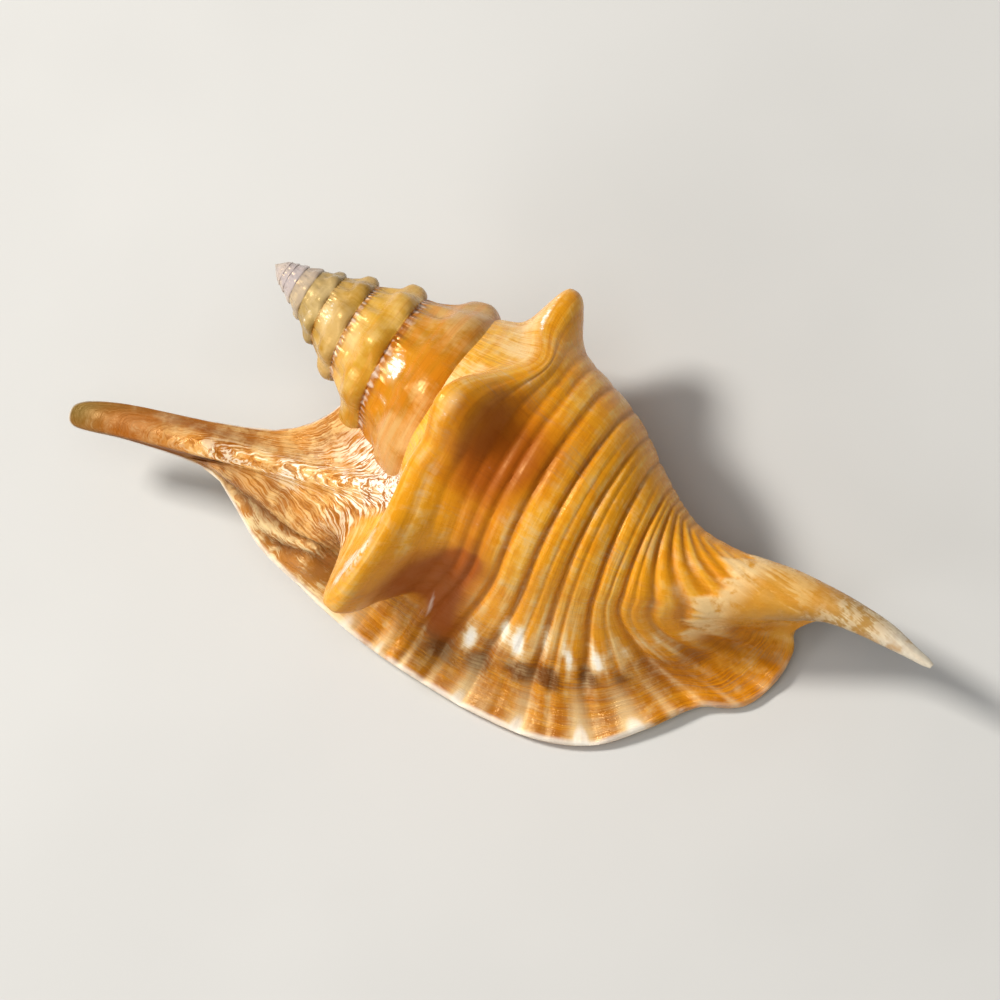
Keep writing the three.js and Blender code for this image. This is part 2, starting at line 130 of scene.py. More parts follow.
# Grooves between the spiral ribs where the wing starts: lane, strength, half width.
GROOVES = [(0.19, 0.25, 0.007), (0.225, 0.4, 0.007), (0.262, 0.3, 0.006), (0.292, 0.5, 0.007),
           (0.322, 0.65, 0.007), (0.373, 0.95, 0.008), (0.443, 1.1, 0.009), (0.49, 0.35, 0.006),
           (0.535, 1, 0.009), (0.572, 0.4, 0.006), (0.633, 1.1, 0.0095), (0.685, 0.35, 0.006),
           (0.735, 0.9, 0.009), (0.768, 0.4, 0.005), (0.8, 0.9, 0.0075), (0.832, 0.85, 0.0065),
           (0.857, 0.8, 0.0055), (0.877, 0.75, 0.005), (0.894, 0.7, 0.0045), (0.909, 0.6, 0.0045),
           (0.923, 0.5, 0.0045), (0.937, 0.4, 0.0045)]

# The ribs drift from their lanes before and after that: lane, drift at turn 0.1, drift at the lip.
RIB_DRIFT = [(0.2, 0.02, 0.06), (0.38, 0.03, 0.062), (0.54, 0.065, 0.06), (0.63, 0.085, 0.031),
             (0.72, 0.11, 0.02), (0.8, 0.1, 0.003), (1, 0.06, 0)]
DRIFT_FROM = 0.38
DRIFT_BEFORE = 0.28
DRIFT_CURVE = 1.3
DRIFT_AFTER = 0.75

# How deep the grooves are, and how far the ribs' backs stand out between the main ones. On narrow ribs they
# stand out less, and near the start of the last whorl both are faint.
RIB_HEIGHT = 0.5
RIB_ROUND = 0.3
MAIN_GROOVE = 0.45
WIDE_RIB = 0.06
NARROW_SHARE = 0.3
RIBS_FROM = -0.5
RIBS_FULL_FROM = 0.02
RIBS_OVER = 0.25
FAINT_SHARE = 0.3

# The edge of the lip: lane, x, y, depth, and the way that the lip runs out there along x, y and the axis.
LIP = [
    (0, 8.5, 1, 24.5, 0, -2, 14),
    (0.012, 15.5, 0.5, 22.6, 1, -2, 14),
    (0.024, 21.5, -1, 17.8, 0.5, -2, 14),
    (0.036, 27.3, -2, 7.8, 1, -1, 13),
    (0.048, 33.9, -3, -6, 2, -0.5, 12),
    (0.058, 38.6, -3.8, -12.8, 4, 0, 11),
    (0.066, 41.3, -4, -13.4, 6, 0, 10),
    (0.074, 42.6, -4.2, -11, 7, 0, 8),
    (0.084, 38.9, -4.2, -2.3, 7.5, 0, 8),
    (0.096, 34.6, -4.4, 10.5, 10, 1, 9),
    (0.104, 35.9, -4.6, 17.3, 16, 1, 10),
    (0.114, 39.1, -5.4, 26, 24, 3, 8),
    (0.126, 40.2, -6.8, 34, 30, 4, 4),
    (0.145, 41, -8.6, 44, 32, 5, 1.5),
    (0.2, 41.1, -9.6, 51.2, 31.5, 6, 0),
    (0.29, 40.4, -9.3, 60, 30.5, 8, 0),
    (0.4, 38.8, -8.4, 72, 29.5, 9.5, -1.5),
    (0.5, 35.6, -7.4, 84, 27, 9.5, -9.5),
    (0.59, 30.2, -7, 92.5, 17.5, 9, -20.5),
    (0.66, 22.5, -7, 97.8, 7.5, 7.5, -23),
    (0.72, 14.5, -7.6, 102.2, 2.5, 6.5, -24),
    (0.77, 9.8, -8.5, 108, 0, 5.5, -26.5),
    (0.81, 3.6, -8.5, 109.6, -2.5, 5, -24.5),
    (0.845, -1.8, -8.2, 109, -4, 2, -19.5),
    (0.87, -4.6, -6, 107.6, -3, 0, -13.5),
    (0.9, -8.2, -2.5, 112, 0, -3.5, -9),
    (0.94, -10.7, 1.8, 120.5, 1.5, -4, -5),
    (1, -13.4, 7, 131.3, 0.5, -1.5, -1.5),
]

# The canal slims from its root on, away from the side towards the lip, and its end narrows. The half widths
# that it keeps on the other side are given by depth.
SLIM = {"from": 102, "over": 12, "share": 0.27, "lane": 0.865, "lanes": 0.03}
CANAL_SIDE = [(105, 5), (112, 4.4), (122, 3.3), (131.5, 2)]
NARROW = {"from": 121.5, "share": 0.36}

# The wing leaves the whorl along its growth, and at its top also towards the spire. It keeps that way for a
# reach, at its top and below.
ROOT_RISE = 0.45
ROOT_KEEP = (14, 32)

# The horn is the largest knob, on the wing: where its tip is, how far the tip reaches, and how far it rises
# and falls along the growth and spreads over the lanes above and below it. Behind the shoulder it rises in a
# shorter way. A turn is this long at the root.
HORN = {"along": 0.34, "lane": 0.137, "reach": (14.8, 3, 0.2), "rise": 15, "rise_behind": 8, "fall": 5,
        "above": 0.018, "below": 0.075, "from_root": 33, "squareness": 2.5, "turns": 1.6}
HORN_BEHIND = 0.1
HORN_BEHIND_OVER = 0.035
ROOT_TURN_LENGTH = 140

# The wing is dished between the finger and the horn: x and depth of the middle, depth, width.
DISH = {"at": (26, 26), "depth": 1.6, "width": 11}

# Hollows that lower the finger's ridge: x, depth, fall, width.
HOLLOWS = [(29, 16.5, 1.4, 5), (25, 25, 1.6, 5), (21.5, 31, 1.2, 4.5)]

# The bank that leads from the finger's ridge down to the edge of the lip: depth, then x and y of the ridge
# and of the edge. It fades over a depth at both ends, and over a share of the wing before the edge.
BANK = [(14, 31.4, 1, 35, -4.6), (20, 28.8, 2, 36.6, -5.3), (26, 26.4, 2.1, 38.6, -6),
        (32, 23.8, 3.3, 39.9, -6.8), (38, 22, 6, 41, -7.5)]
BANK_FROM = 9
BANK_UNTIL = 35
BANK_FADE = 5
BANK_SHARE = 0.1
BANK_ROUND = 0.9
BANK_CURVE = 1.8
BANK_BEHIND = 1.5

# The ridge along the finger, from the wing to the finger's end.
FINGER = {"from": (26, -3, -20), "to": (41.2, -4, 12), "height": 1.2, "width": 8, "taper": 0.5,
          "rise": 0.7, "end": 1.06, "fall": 0.2}

# Two folds between the finger and the edge of the lip: along, lane.
FOLDS = [[(0.96, 0.1), (0.94, 0.1043), (0.886, 0.1068), (0.836, 0.1092), (0.813, 0.1124), (0.789, 0.1148),
          (0.766, 0.1188), (0.742, 0.1228), (0.716, 0.1276), (0.6, 0.133)],
         [(0.953, 0.114), (0.93, 0.1164), (0.883, 0.1204), (0.823, 0.1252), (0.786, 0.1292), (0.7, 0.133)]]
FOLD_DEPTH = 1.1
FOLD_WIDTH = 0.0035
FOLD_START = 0.2
FOLD_END = 0.03

# The glaze by the canal lies over the ribs, with an uneven edge: height, rate and start of its waves. Towards
# the lip it spreads, and then ends. The last three are the age where each starts and how long it takes.
GLAZE = {"lane": 0.842, "thick": 0.22, "edge": 0.004, "covers": 0.6, "spread": 0.03,
         "waves": (-0.1, 0.2), "spreads": (0.5, 0.4), "ends": (0.7, 0.2)}
GLAZE_WAVES = [(0.006, 31, 0), (0.004, 67, 1), (0.0025, 143, 2)]

# How thick the wall is on the whorl, in the canal and at the lip. It starts sunk in the coil, then stands a
# little proud of it until one turn, and is level with it again from another.
WALL = 2.4
CANAL_WALL = 0.9
LIP_WALL = 1.7
CANAL_FROM = 0.8
RIM_LEFT = 0.12
WALL_START = -0.52
SUNK = 2.2
PROUD = 0.3
PROUD_FROM = -0.485
PROUD_UNTIL = -0.43
PROUD_OVER = -0.33

# How finely the surfaces are divided.
COIL_COLUMNS = 132
SPIRE_LANE_COUNT = 20
PILLAR_LANE_COUNT = 20
WHORL_COLUMNS = 158
WING_COLUMNS = 62
WING_CROWDING = 1.25
LANE_STEPS = [(-0.012, 0), (0, 3), (0.048, 20), (0.058, 30), (0.074, 44), (0.084, 50), (0.15, 74),
              (0.87, 248), (1, 268)]


def mix(a, b, t):
    return a + (b - a) * t


def smooth(t):
    t = np.clip(t, 0, 1)
    return t * t * (3 - 2 * t)


def rise(values, start, over):
    """0 up to the start, 1 from start + over on, and a soft step between them."""
    return smooth((values - start) / over)


def fall(values, start, over):
    """1 up to the start, 0 from start + over on."""
    return 1 - rise(values, start, over)


def bump(distance, width):
    return np.exp(-((distance / width) ** 2))


def skewed(off, before, after, squareness=2.0):
    """How far off a bump's middle a place is, where the bump reaches differently before and after it."""
    return np.abs(off / np.where(off < 0, before, after)) ** squareness


def through(keys):
    """A smooth curve through rows of (parameter, values...), for arrays of parameters."""
    rows = np.array(keys, float)
    at, values = rows[:, 0], rows[:, 1:]
    count = len(at)
    before = np.maximum(np.arange(count) - 1, 0)
    after = np.minimum(np.arange(count) + 1, count - 1)
    slopes = (values[after] - values[before]) / (at[after] - at[before])[:, None]

    def curve(t):
        t = np.asarray(t, float)
        i = np.clip(np.searchsorted(at, t, side="right") - 1, 0, count - 2)
        span = at[i + 1] - at[i]
        u = np.clip((t - at[i]) / span, 0, 1)[..., None]
        span = span[..., None]
        ends = values[i] * (1 + 2 * u) * (1 - u) ** 2 + values[i + 1] * u * u * (3 - 2 * u)
        tangents = slopes[i] * u * (1 - u) ** 2 + slopes[i + 1] * u * u * (u - 1)
        over = np.maximum(t - at[-1], 0)[..., None] * slopes[-1]
        under = np.minimum(t - at[0], 0)[..., None] * slopes[0]
        return ends + tangents * span + over + under

    return curve


def size(turn):
    return GROWTH ** np.where(turn < 0, turn, LATE_GROWTH * turn)


shoulder_depth = through(SHOULDER_DEPTH)
lower_lanes = [(lane, through(keys), keys[0]) for lane, keys in LOWER_LANES.items()]
bend = through(CANAL_BEND)
lip_edge = through([(lane, x, y, -depth) for lane, x, y, depth, *_ in LIP])
lip_out = through([(lane, *out) for lane, _, _, _, *out in LIP])
MAIN_LANES = [0, SHOULDER_LANE / 2, SHOULDER_LANE, *LOWER_LANES]
lane_shares = through([(lane, *row) for lane, row in zip(MAIN_LANES, np.eye(len(MAIN_LANES)))])


def main_lanes(turn):
    """Radius and depth of the shell's main lanes at stages of growth, as arrays of stages by lanes."""
    grown = size(turn)
    climb = CLIMB * rise(turn, CLIMB_FROM, ROOT_TURN - CLIMB_FROM)
    suture = (SUTURE_RADIUS * grown + SUTURE_EXTRA - climb / 2, SUTURE_DEPTH * grown - climb)
    early_wide = SPIRE_SHOULDER_RADIUS * grown + SPIRE_SHOULDER_EXTRA
    wide = mix(early_wide, SHOULDER_RADIUS * grown, rise(turn, SPIRE_SHOULDER_UNTIL, 1))
    deep = np.where(turn < -1, EARLY_SHOULDER_DEPTH * grown, shoulder_depth(np.maximum(turn, -1))[:, 0])
    radii = [suture[0], (suture[0] + wide) / 2, wide]
    depths = [suture[1], mix(suture[1], deep, 0.6), deep]
    for lane, at, first in lower_lanes:
        values = at(turn)
        if lane == PERIPHERY_LANE:
            early = turn < COIL_END
            following = size(turn + 1)
            radius, depth = SUTURE_RADIUS * following + SUTURE_EXTRA, SUTURE_DEPTH * following
        else:
            early = turn < COIL_END - 1
            smaller = grown / size(np.float64(COIL_END - 1))
            radius, depth = first[1] * smaller, first[2] * smaller
        radii.append(np.where(early, radius, values[:, 0]))
        depths.append(np.where(early, depth, values[:, 1]))
    return np.stack(radii, 1), np.stack(depths, 1)


def knob_height(turn, radius):
    width = KNOB_WIDTH / (2 * math.pi * np.maximum(radius, 1))
    height = sum(tall * bump(turn - at, width) for at, tall in KNOBS)
    swell = 0.5 + 0.5 * np.cos(2 * math.pi * SPIRE_KNOBS * (turn + 1))
    full = SPIRE_KNOBS_FULL
    share = SPIRE_KNOB_SHARE * mix(full["faint"], 1, rise(turn, full["from"], full["over"]))
    return height + np.where(turn < SPIRE_KNOBS_END, share * radius * swell, 0)


def whorl_points(turns, lanes, carved, horned=True):
    """Points on the coiled part of the shell, stages of growth by lanes, with or without its knobs."""
    turns, lanes = np.asarray(turns, float), np.asarray(lanes, float)
    radii, depths = main_lanes(turns)
    shares = lane_shares(lanes).T
    radius, depth = radii @ shares, depths @ shares
    turn = turns[:, None]
    if carved:
        shape = np.exp(-skewed(lanes - KNOB_LANE, KNOB_ABOVE, KNOB_BELOW, KNOB_SQUARENESS))
        radius = radius + knob_height(turn, radius) * shape
        waves = sum(
            strong * np.sin(2 * math.pi * often * turn + slant * lanes + start)
            for often, slant, start, strong in RIPPLE_WAVES
        )
        rippled = bump(lanes - RIPPLE["lane"], RIPPLE["wide"]) * (turn < RIPPLE["until"])
        radius = radius * (1 + RIPPLE["height"] * waves * rippled)
        hollow = bump(turn - HOLLOW["turn"], HOLLOW["long"]) * bump(lanes - HOLLOW["lane"], HOLLOW["wide"])
        radius = radius - HOLLOW["depth"] * hollow
        drop = sum(deep * bump(turn - at, long) for at, deep, long in DIPS)
        depth = depth + drop * bump(lanes - SHOULDER_LANE, DIP_LANES)
        leaning = bump(turn - LEAN["turn"], LEAN["long"]) * bump(lanes - LEAN["lane"], LEAN["wide"])
        depth = depth - LEAN["back"] * leaning
    depth = np.minimum(depth, FULL_DEPTH)
    side = bend(np.maximum(depth, CANAL_BEND[0][0]))
    angle = 2 * math.pi * (turn - 0.25)
    x = side[..., 0] + radius * np.sin(angle)
    y = side[..., 1] + radius * np.cos(angle)
    places = np.stack([x, y, -depth], -1)
    if carved and horned:
        before = (ROOT_TURN - turn) * ROOT_TURN_LENGTH
        out = np.stack([np.sin(angle), np.cos(angle), 0 * angle], -1)
        places = places + horn(-HORN["along"] * HORN["from_root"] - before, lanes, out)
    return places


def horn(off, lanes, out=None):
    """How far the horn moves the surface, at distances along the growth from its tip."""
    before = mix(HORN["rise_behind"], HORN["rise"], rise(lanes, HORN_BEHIND, HORN_BEHIND_OVER))
    long = skewed(off, before, HORN["fall"])
    wide = skewed(lanes - HORN["lane"], HORN["above"], HORN["below"], HORN["squareness"])
    reach = np.array(HORN["reach"], float)
    share = smooth(-off / HORN["rise"] / HORN["turns"])[..., None]
    way = reach if out is None else reach * (1 - share) + out * np.linalg.norm(reach) * share
    return way * np.exp(-long - wide)[..., None]


def length(vectors):
    return np.linalg.norm(vectors, axis=-1, keepdims=True)


def bank(places):
    """How far the bank below the finger's ridge stands over these places."""
    rows = np.array(BANK)
    depth = -places[..., 2]
    ridge_x, ridge_y, edge_x, edge_y = [np.interp(depth, rows[:, 0], rows[:, k]) for k in (1, 2, 3, 4)]
    u = (places[..., 0] - ridge_x) / (edge_x - ridge_x)
    down = np.where(u > 0, 1 - np.clip(u, 0, 1) ** BANK_CURVE, 1 + BANK_BEHIND * u)
    over = edge_y + (ridge_y - edge_y) * down - places[..., 1]
    share = rise(depth, BANK_FROM, BANK_FADE) * fall(depth, BANK_UNTIL, BANK_FADE)
    return share * (over + np.hypot(over, BANK_ROUND)) / 2


def wing_points(alongs, lanes, carved):
    """Points on the wing, which runs from the root column, along 0, to the edge of the lip, along 1."""
    alongs, lanes = np.asarray(alongs, float), np.asarray(lanes, float)
    step = 0.002
    root = whorl_points([ROOT_TURN - step, ROOT_TURN], lanes, carved, False)
    start = root[1]
    leave = start - root[0]
    leave /= length(leave)
    top = np.clip(lanes / SHOULDER_LANE, 0, 1)
    leave[:, 2] += ROOT_RISE * (1 - top)
    leave /= length(leave)
    end = lip_edge(lanes)
    reach = length(end - start)
    keep = np.minimum(reach, mix(*ROOT_KEEP, top)[:, None])
    a = alongs[:, None, None]
    p = (
        start * (1 + 2 * a) * (1 - a) ** 2
        + leave * keep * a * (1 - a) ** 2
        + end * a * a * (3 - 2 * a)
        + lip_out(lanes) * a * a * (a - 1)
    )
    away = np.hypot(p[..., 0] - DISH["at"][0], p[..., 2] + DISH["at"][1])
    p[..., 1] -= DISH["depth"] * bump(away, DISH["width"])
    for x, depth, drop, width in HOLLOWS:
        p[..., 1] -= drop * bump(np.hypot(p[..., 0] - x, p[..., 2] + depth), width)
    p[..., 1] += bank(p) * np.minimum((1 - alongs) / BANK_SHARE, 1)[:, None]
    if not carved:
        return p
    angle = 2 * math.pi * (ROOT_TURN - 0.25)
    out = np.array([math.sin(angle), math.cos(angle), 0])
    p = p + horn((alongs[:, None] - HORN["along"]) * HORN["from_root"], lanes, out)
    line = np.array(FINGER["to"]) - np.array(FINGER["from"])
    offset = p - np.array(FINGER["from"])
    t = offset @ line / (line @ line)
    offset = offset - t[..., None] * line
    width = FINGER["width"] * (1 - FINGER["taper"] * np.clip(t, 0, 1))
    lift = smooth(t / FINGER["rise"]) * smooth((FINGER["end"] - t) / FINGER["fall"])
    lift = FINGER["height"] * lift * (1 - FINGER["taper"] * t)
    p[..., 1] += lift * bump(np.hypot(offset[..., 0], offset[..., 2]), width)
    return p


drift = through(RIB_DRIFT)


def fold_depth(ages, lanes):
    """How deep the surface lies in the folds, 0 to 1."""
    along = ages - ROOT_TURN
    total = 0
    for line in FOLDS:
        at = np.array(line[::-1])
        middle = np.interp(along, at[:, 0], at[:, 1])
        run = rise(along, at[0, 0], FOLD_START) * fall(along, at[-1, 0] - FOLD_END, 2 * FOLD_END)
        total = total + run * bump(lanes - middle, FOLD_WIDTH)
    return total


def glaze(ages, lanes):
    """Where the glaze covers the shell, 0 to 1."""
    wave = sum(high * np.sin(ages * rate + start) for high, rate, start in GLAZE_WAVES)
    spread = GLAZE["spread"] * rise(ages, *GLAZE["spreads"])
    edge = GLAZE["lane"] + wave * rise(ages, *GLAZE["waves"]) - spread
    return smooth((lanes - edge) / GLAZE["edge"] / 2 + 0.5) * fall(ages, *GLAZE["ends"])


def home_lane(ages, lanes):
    """The lane that a rib keeps where the wing starts, for the ribs drift a little before and after it."""
    shift = drift(lanes)
    early = np.clip((DRIFT_FROM - ages) / DRIFT_BEFORE, 0, 1) ** DRIFT_CURVE
    late = rise(ages, ROOT_TURN, DRIFT_AFTER)
    return lanes + shift[..., 0] * early + shift[..., 1] * late


def rib_round(ages, lanes):
    """How far the rounded backs of the ribs stand out, 0 at the main grooves to 1 half way between them."""
    mains = [lane for lane, strength, _ in GROOVES if strength > MAIN_GROOVE]
    home = home_lane(ages, lanes)
    i = np.clip(np.searchsorted(mains, home, side="right") - 1, 0, len(mains) - 2)
    mains = np.array(mains)
    wide = mains[i + 1] - mains[i]
    u = np.clip((home - mains[i]) / wide, 0, 1)
    return 4 * u * (1 - u) * np.clip(wide / WIDE_RIB, NARROW_SHARE, 1)


def groove_depth(ages, lanes):
    """How deep the surface lies in the grooves between the ribs, 0 to about 1."""
    home = home_lane(ages, lanes)
    return sum(strength * bump(home - lane, width) for lane, strength, width in GROOVES)


def narrowed(places, lanes):
    """The grid with its canal slimmed and narrowed towards the end."""
    depth = -places[..., 2]
    middle = bend(np.clip(depth, CANAL_BEND[0][0], FULL_DEPTH))
    side = np.array(CANAL_SIDE)
    kept = middle[..., 0] - np.interp(depth, side[:, 0], side[:, 1])
    slim = SLIM["share"] * rise(depth, SLIM["from"], SLIM["over"]) * rise(lanes, SLIM["lane"], SLIM["lanes"])
    places[..., 0] += (kept - places[..., 0]) * slim
    middle[..., 0] += (kept - middle[..., 0]) * slim
    share = NARROW["share"] * rise(depth, NARROW["from"], FULL_DEPTH - NARROW["from"])
    places[..., :2] += (middle - places[..., :2]) * share[..., None]
    return places


def normals(grid):
    """The directions out of a grid of places."""
    across = np.empty_like(grid)
    across[1:-1] = grid[2:] - grid[:-2]
    across[0], across[-1] = grid[1] - grid[0], grid[-1] - grid[-2]
    down = np.empty_like(grid)
    down[:, 1:-1] = grid[:, 2:] - grid[:, :-2]
    down[:, 0], down[:, -1] = grid[:, 1] - grid[:, 0], grid[:, -1] - grid[:, -2]
    out = np.cross(across, down)
    return out / np.maximum(length(out), 1e-12)


def evened(arrows, rounds=4):
    """The directions of a grid, each averaged with its neighbours."""
    arrows = arrows / np.maximum(length(arrows), 1e-12)
    for _ in range(rounds):
        wide = np.pad(arrows, ((1, 1), (1, 1), (0, 0)), "edge")
        arrows = 2 * arrows + wide[:-2, 1:-1] + wide[2:, 1:-1] + wide[1:-1, :-2] + wide[1:-1, 2:]
        arrows /= np.maximum(length(arrows), 1e-12)
    return arrows


class Skin:
    """Gathers vertices and faces for one closed solid, with what the finish needs to know at each vertex."""

    def __init__(self):
        self.places, self.growth, self.side, self.faces = [], [], [], []
        self.count = 0

    def add(self, places, ages, lanes, side):
        """Stores places of any shape with their age, lane and side, and returns their indices."""
        places = np.asarray(places, float)
        shape = places.shape[:-1]
        number = int(np.prod(shape))
        self.places.append(places.reshape(-1, 3))
        growth = np.stack([np.broadcast_to(ages, shape), np.broadcast_to(lanes, shape)], -1)
        self.growth.append(growth.reshape(-1, 2))
        self.side.append(np.broadcast_to(np.array(side, float), shape + (2,)).reshape(-1, 2))
        self.count += number
        return np.arange(self.count - number, self.count).reshape(shape)

    def fill(self, grid, flip=False):
        a, b, c, d = grid[:-1, :-1], grid[:-1, 1:], grid[1:, 1:], grid[1:, :-1]
        corners = (a, b, c, d) if flip else (a, d, c, b)
        self.faces += np.stack(corners, -1).reshape(-1, 4).tolist()

    def strip(self, one, other, one_at, other_at):
        """Fills between two chains of vertices that run the same way."""
        i = j = 0
        m, n = len(one) - 1, len(other) - 1
        while i < m or j < n:
            if j == n or (i < m and one_at[i + 1] <= other_at[j + 1]):
                face = (one[i], other[j], one[i + 1])
                i += 1
            else:
                face = (one[i], other[j], other[j + 1])
                j += 1
            self.faces.append(face)

    def object(self, name):
        """The solid as an object, with faces that lost a corner mended or left out."""
        faces = []
        for face in self.faces:
            kept = [v for k, v in enumerate(face) if v != face[k - 1]]
            if len(kept) > 2:
                faces.append([int(v) for v in kept])
        mesh = bpy.data.meshes.new(name)
        mesh.from_pydata(np.concatenate(self.places).tolist(), [], faces)
        corner = np.empty(len(mesh.loops), int)
        mesh.loops.foreach_get("vertex_index", corner)
        for layer, values in (("growth", self.growth), ("side", self.side)):
            flat = np.concatenate(values)[corner].ravel()
            mesh.uv_layers.new(name=layer).data.foreach_set("uv", flat)
        piece = bpy.data.objects.new(name, mesh)
        bpy.context.scene.collection.objects.link(piece)
        return piece


def coil():
    """The filled coil. A whorl's lowest lane in the spire is the next whorl's suture."""
    skin = Skin()
    upper = np.linspace(0, PERIPHERY_LANE, SPIRE_LANE_COUNT)
    lanes = np.concatenate([upper, np.linspace(PERIPHERY_LANE, 1, PILLAR_LANE_COUNT)[1:]])
    seam = SPIRE_LANE_COUNT - 1
    total = WHORLS * COIL_COLUMNS
    opened = total - COIL_COLUMNS
    turns = COIL_END - (total - np.arange(total + 1)) / COIL_COLUMNS
    ids = np.full((total + 1, len(lanes)), -1)
    places = whorl_points(turns, lanes, True)
    tip = skin.add([[0, 0, 0]], turns[0], 0, (0, 0))[0]
    ids[:, :seam] = skin.add(places[:, :seam], turns[:, None], lanes[:seam], (0, 0))
    ids[: COIL_COLUMNS + 1, 0] = tip
    ids[0] = tip
    later = slice(opened + 1, None)
    ids[later, seam:] = skin.add(places[later, seam:], turns[later, None], lanes[seam:], (0, 0))
    ids[opened, seam + 1 :] = skin.add(places[opened, seam + 1 :], turns[opened], lanes[seam + 1 :], (0, 0))
    ids[: opened + 1, seam] = ids[COIL_COLUMNS:, 0]
    skin.fill(ids[:, : seam + 1])
    skin.fill(ids[opened:, seam:])
    inner_at = (lanes[seam:] - PERIPHERY_LANE) / (1 - PERIPHERY_LANE)
    skin.strip(ids[total], ids[opened, seam:], lanes, inner_at)
    foot = skin.add([[0, 0, -PILLAR_DEPTH]], COIL_END, 1, (0, 0))[0]
    rim = ids[opened:, -1]
    skin.faces += [(one, other, foot) for one, other in zip(rim[:-1], rim[1:])]
    skin.faces.append((rim[-1], rim[0], foot))
    return skin.object("coil")


def wall():
    """The wall of the last whorl and the wing: an outer skin, an inner skin and the rims between them."""
    skin = Skin()
    steps = np.array(LANE_STEPS)
    lanes = np.interp(np.arange(steps[-1, 1] + 1), steps[:, 1], steps[:, 0])
    turns = np.linspace(WALL_START, ROOT_TURN, WHORL_COLUMNS + 1)
    even = np.arange(1, WING_COLUMNS + 1) / WING_COLUMNS
    alongs = 1 - (1 - even) ** WING_CROWDING
    inner_lanes = np.append(lanes[:-1:2], lanes[-1])
    inner_turns = turns[::2]
    inner_alongs = alongs[1::2]

    def grid(turns, alongs, lanes, carved):
        return np.concatenate([whorl_points(turns, lanes, carved), wing_points(alongs, lanes, carved)])

    def rounding(places, turns, half):
        """How far the wall keeps its thickness near its free edges, from little at the edge to 1."""
        far = 1e3
        along = np.linalg.norm(np.diff(places[len(turns) - 1 :], axis=0), axis=-1)[::-1].cumsum(0)[::-1]
        ends = np.full(places.shape[:2], far)
        ends[len(turns) - 1 : -1] = along
        ends[-1] = 0
        across = np.linalg.norm(np.diff(places, axis=1), axis=-1)
        first = np.pad(across.cumsum(1), ((0, 0), (1, 0)))
        first[: len(turns)] = far
        last = np.pad(across[:, ::-1].cumsum(1)[:, ::-1], ((0, 0), (0, 1)))
        near = np.clip(np.minimum(np.minimum(ends, first), last) / half, 0, 1)
        return np.maximum(np.sqrt(1 - (1 - near) ** 2), RIM_LEFT)

    def lift(turns, alongs):
        """How far the outer skin stands off the coil."""
        before = mix(-SUNK, PROUD, np.clip((turns - WALL_START) / (PROUD_FROM - WALL_START), 0, 1))
        after = np.clip(PROUD * (PROUD_OVER - turns) / (PROUD_OVER - PROUD_UNTIL), 0, PROUD)
        return np.concatenate([np.where(turns > PROUD_UNTIL, after, before), 0 * alongs])[:, None]

    def thickness(turns, alongs, lanes):
        along = np.concatenate([0 * turns, alongs])[:, None]
        canal = np.clip((lanes - CANAL_FROM) / (1 - CANAL_FROM), 0, 1)
        return mix(mix(WALL, CANAL_WALL, canal), LIP_WALL, along**2)

    smooth_outer = grid(turns, alongs, lanes, True)
    thick = thickness(turns, alongs, lanes)
    keep = rounding(smooth_outer, turns, LIP_WALL / 2)
    ages = np.concatenate([turns, ROOT_TURN + alongs])
    faint = rise(ages, RIBS_FROM, RIBS_OVER) * mix(FAINT_SHARE, 1, rise(ages, RIBS_FULL_FROM, RIBS_OVER))
    ribs = RIB_ROUND * rib_round(ages[:, None], lanes) - RIB_HEIGHT * groove_depth(ages[:, None], lanes)
    ribs = ribs * faint[:, None] * keep
    covered = glaze(ages[:, None], lanes)
    laid = GLAZE["thick"] * covered - FOLD_DEPTH * fold_depth(ages[:, None], lanes)
    ribs = ribs * (1 - GLAZE["covers"] * covered) + laid * keep
    away = lift(turns, alongs) - thick / 2 * (1 - keep) + ribs
    outer_places = smooth_outer + normals(smooth_outer) * away[..., None]
    outer = skin.add(narrowed(outer_places, lanes), ages[:, None], lanes, (0, 1))
    inner_base = grid(inner_turns, inner_alongs, inner_lanes, False)
    thick = thickness(inner_turns, inner_alongs, inner_lanes)
    keep = rounding(inner_base, inner_turns, LIP_WALL / 2)
    away = np.minimum(lift(inner_turns, inner_alongs), 0) - thick + thick / 2 * (1 - keep)
    inner_places = inner_base + evened(normals(inner_base)) * away[..., None]
    inner_ages = np.concatenate([inner_turns, ROOT_TURN + inner_alongs])
    inner = skin.add(narrowed(inner_places, inner_lanes), inner_ages[:, None], inner_lanes, (1, 1))
    skin.fill(outer)
    skin.fill(inner, True)
    skin.strip(outer[:, 0], inner[:, 0], ages, inner_ages)
    skin.strip(inner[:, -1], outer[:, -1], inner_ages, ages)
    skin.strip(inner[0], outer[0], inner_lanes, lanes)
    skin.strip(outer[-1], inner[-1], lanes, inner_lanes)
    return skin.object("wall")


# How the shell lies: the canal towards +X, the lip towards -Y and its back up, resting on its lip.
ROLL, PITCH = math.radians(9.57), math.radians(8.51)
STAND = Vector((-58.593, 7.2355, 27.2588))
LAID = Matrix(((0, 0, -1), (-1, 0, 0), (0, 1, 0)))
TURNED = Matrix.Rotation(PITCH, 3, "Y") @ Matrix.Rotation(ROLL, 3, "X") @ LAID
SHARP_FROM = math.radians(50)


def placed(point):
    """A point of the shape in the frame of the part, in metres."""
    return (TURNED @ Vector(point) + STAND) * MM


def cut_to_triangles(mesh):
    """Splits the faces, so that none along the join folds back on itself."""
    work = bmesh.new()
    work.from_mesh(mesh)
    bmesh.ops.triangulate(work, faces=work.faces)
    work.to_mesh(mesh)
    work.free()


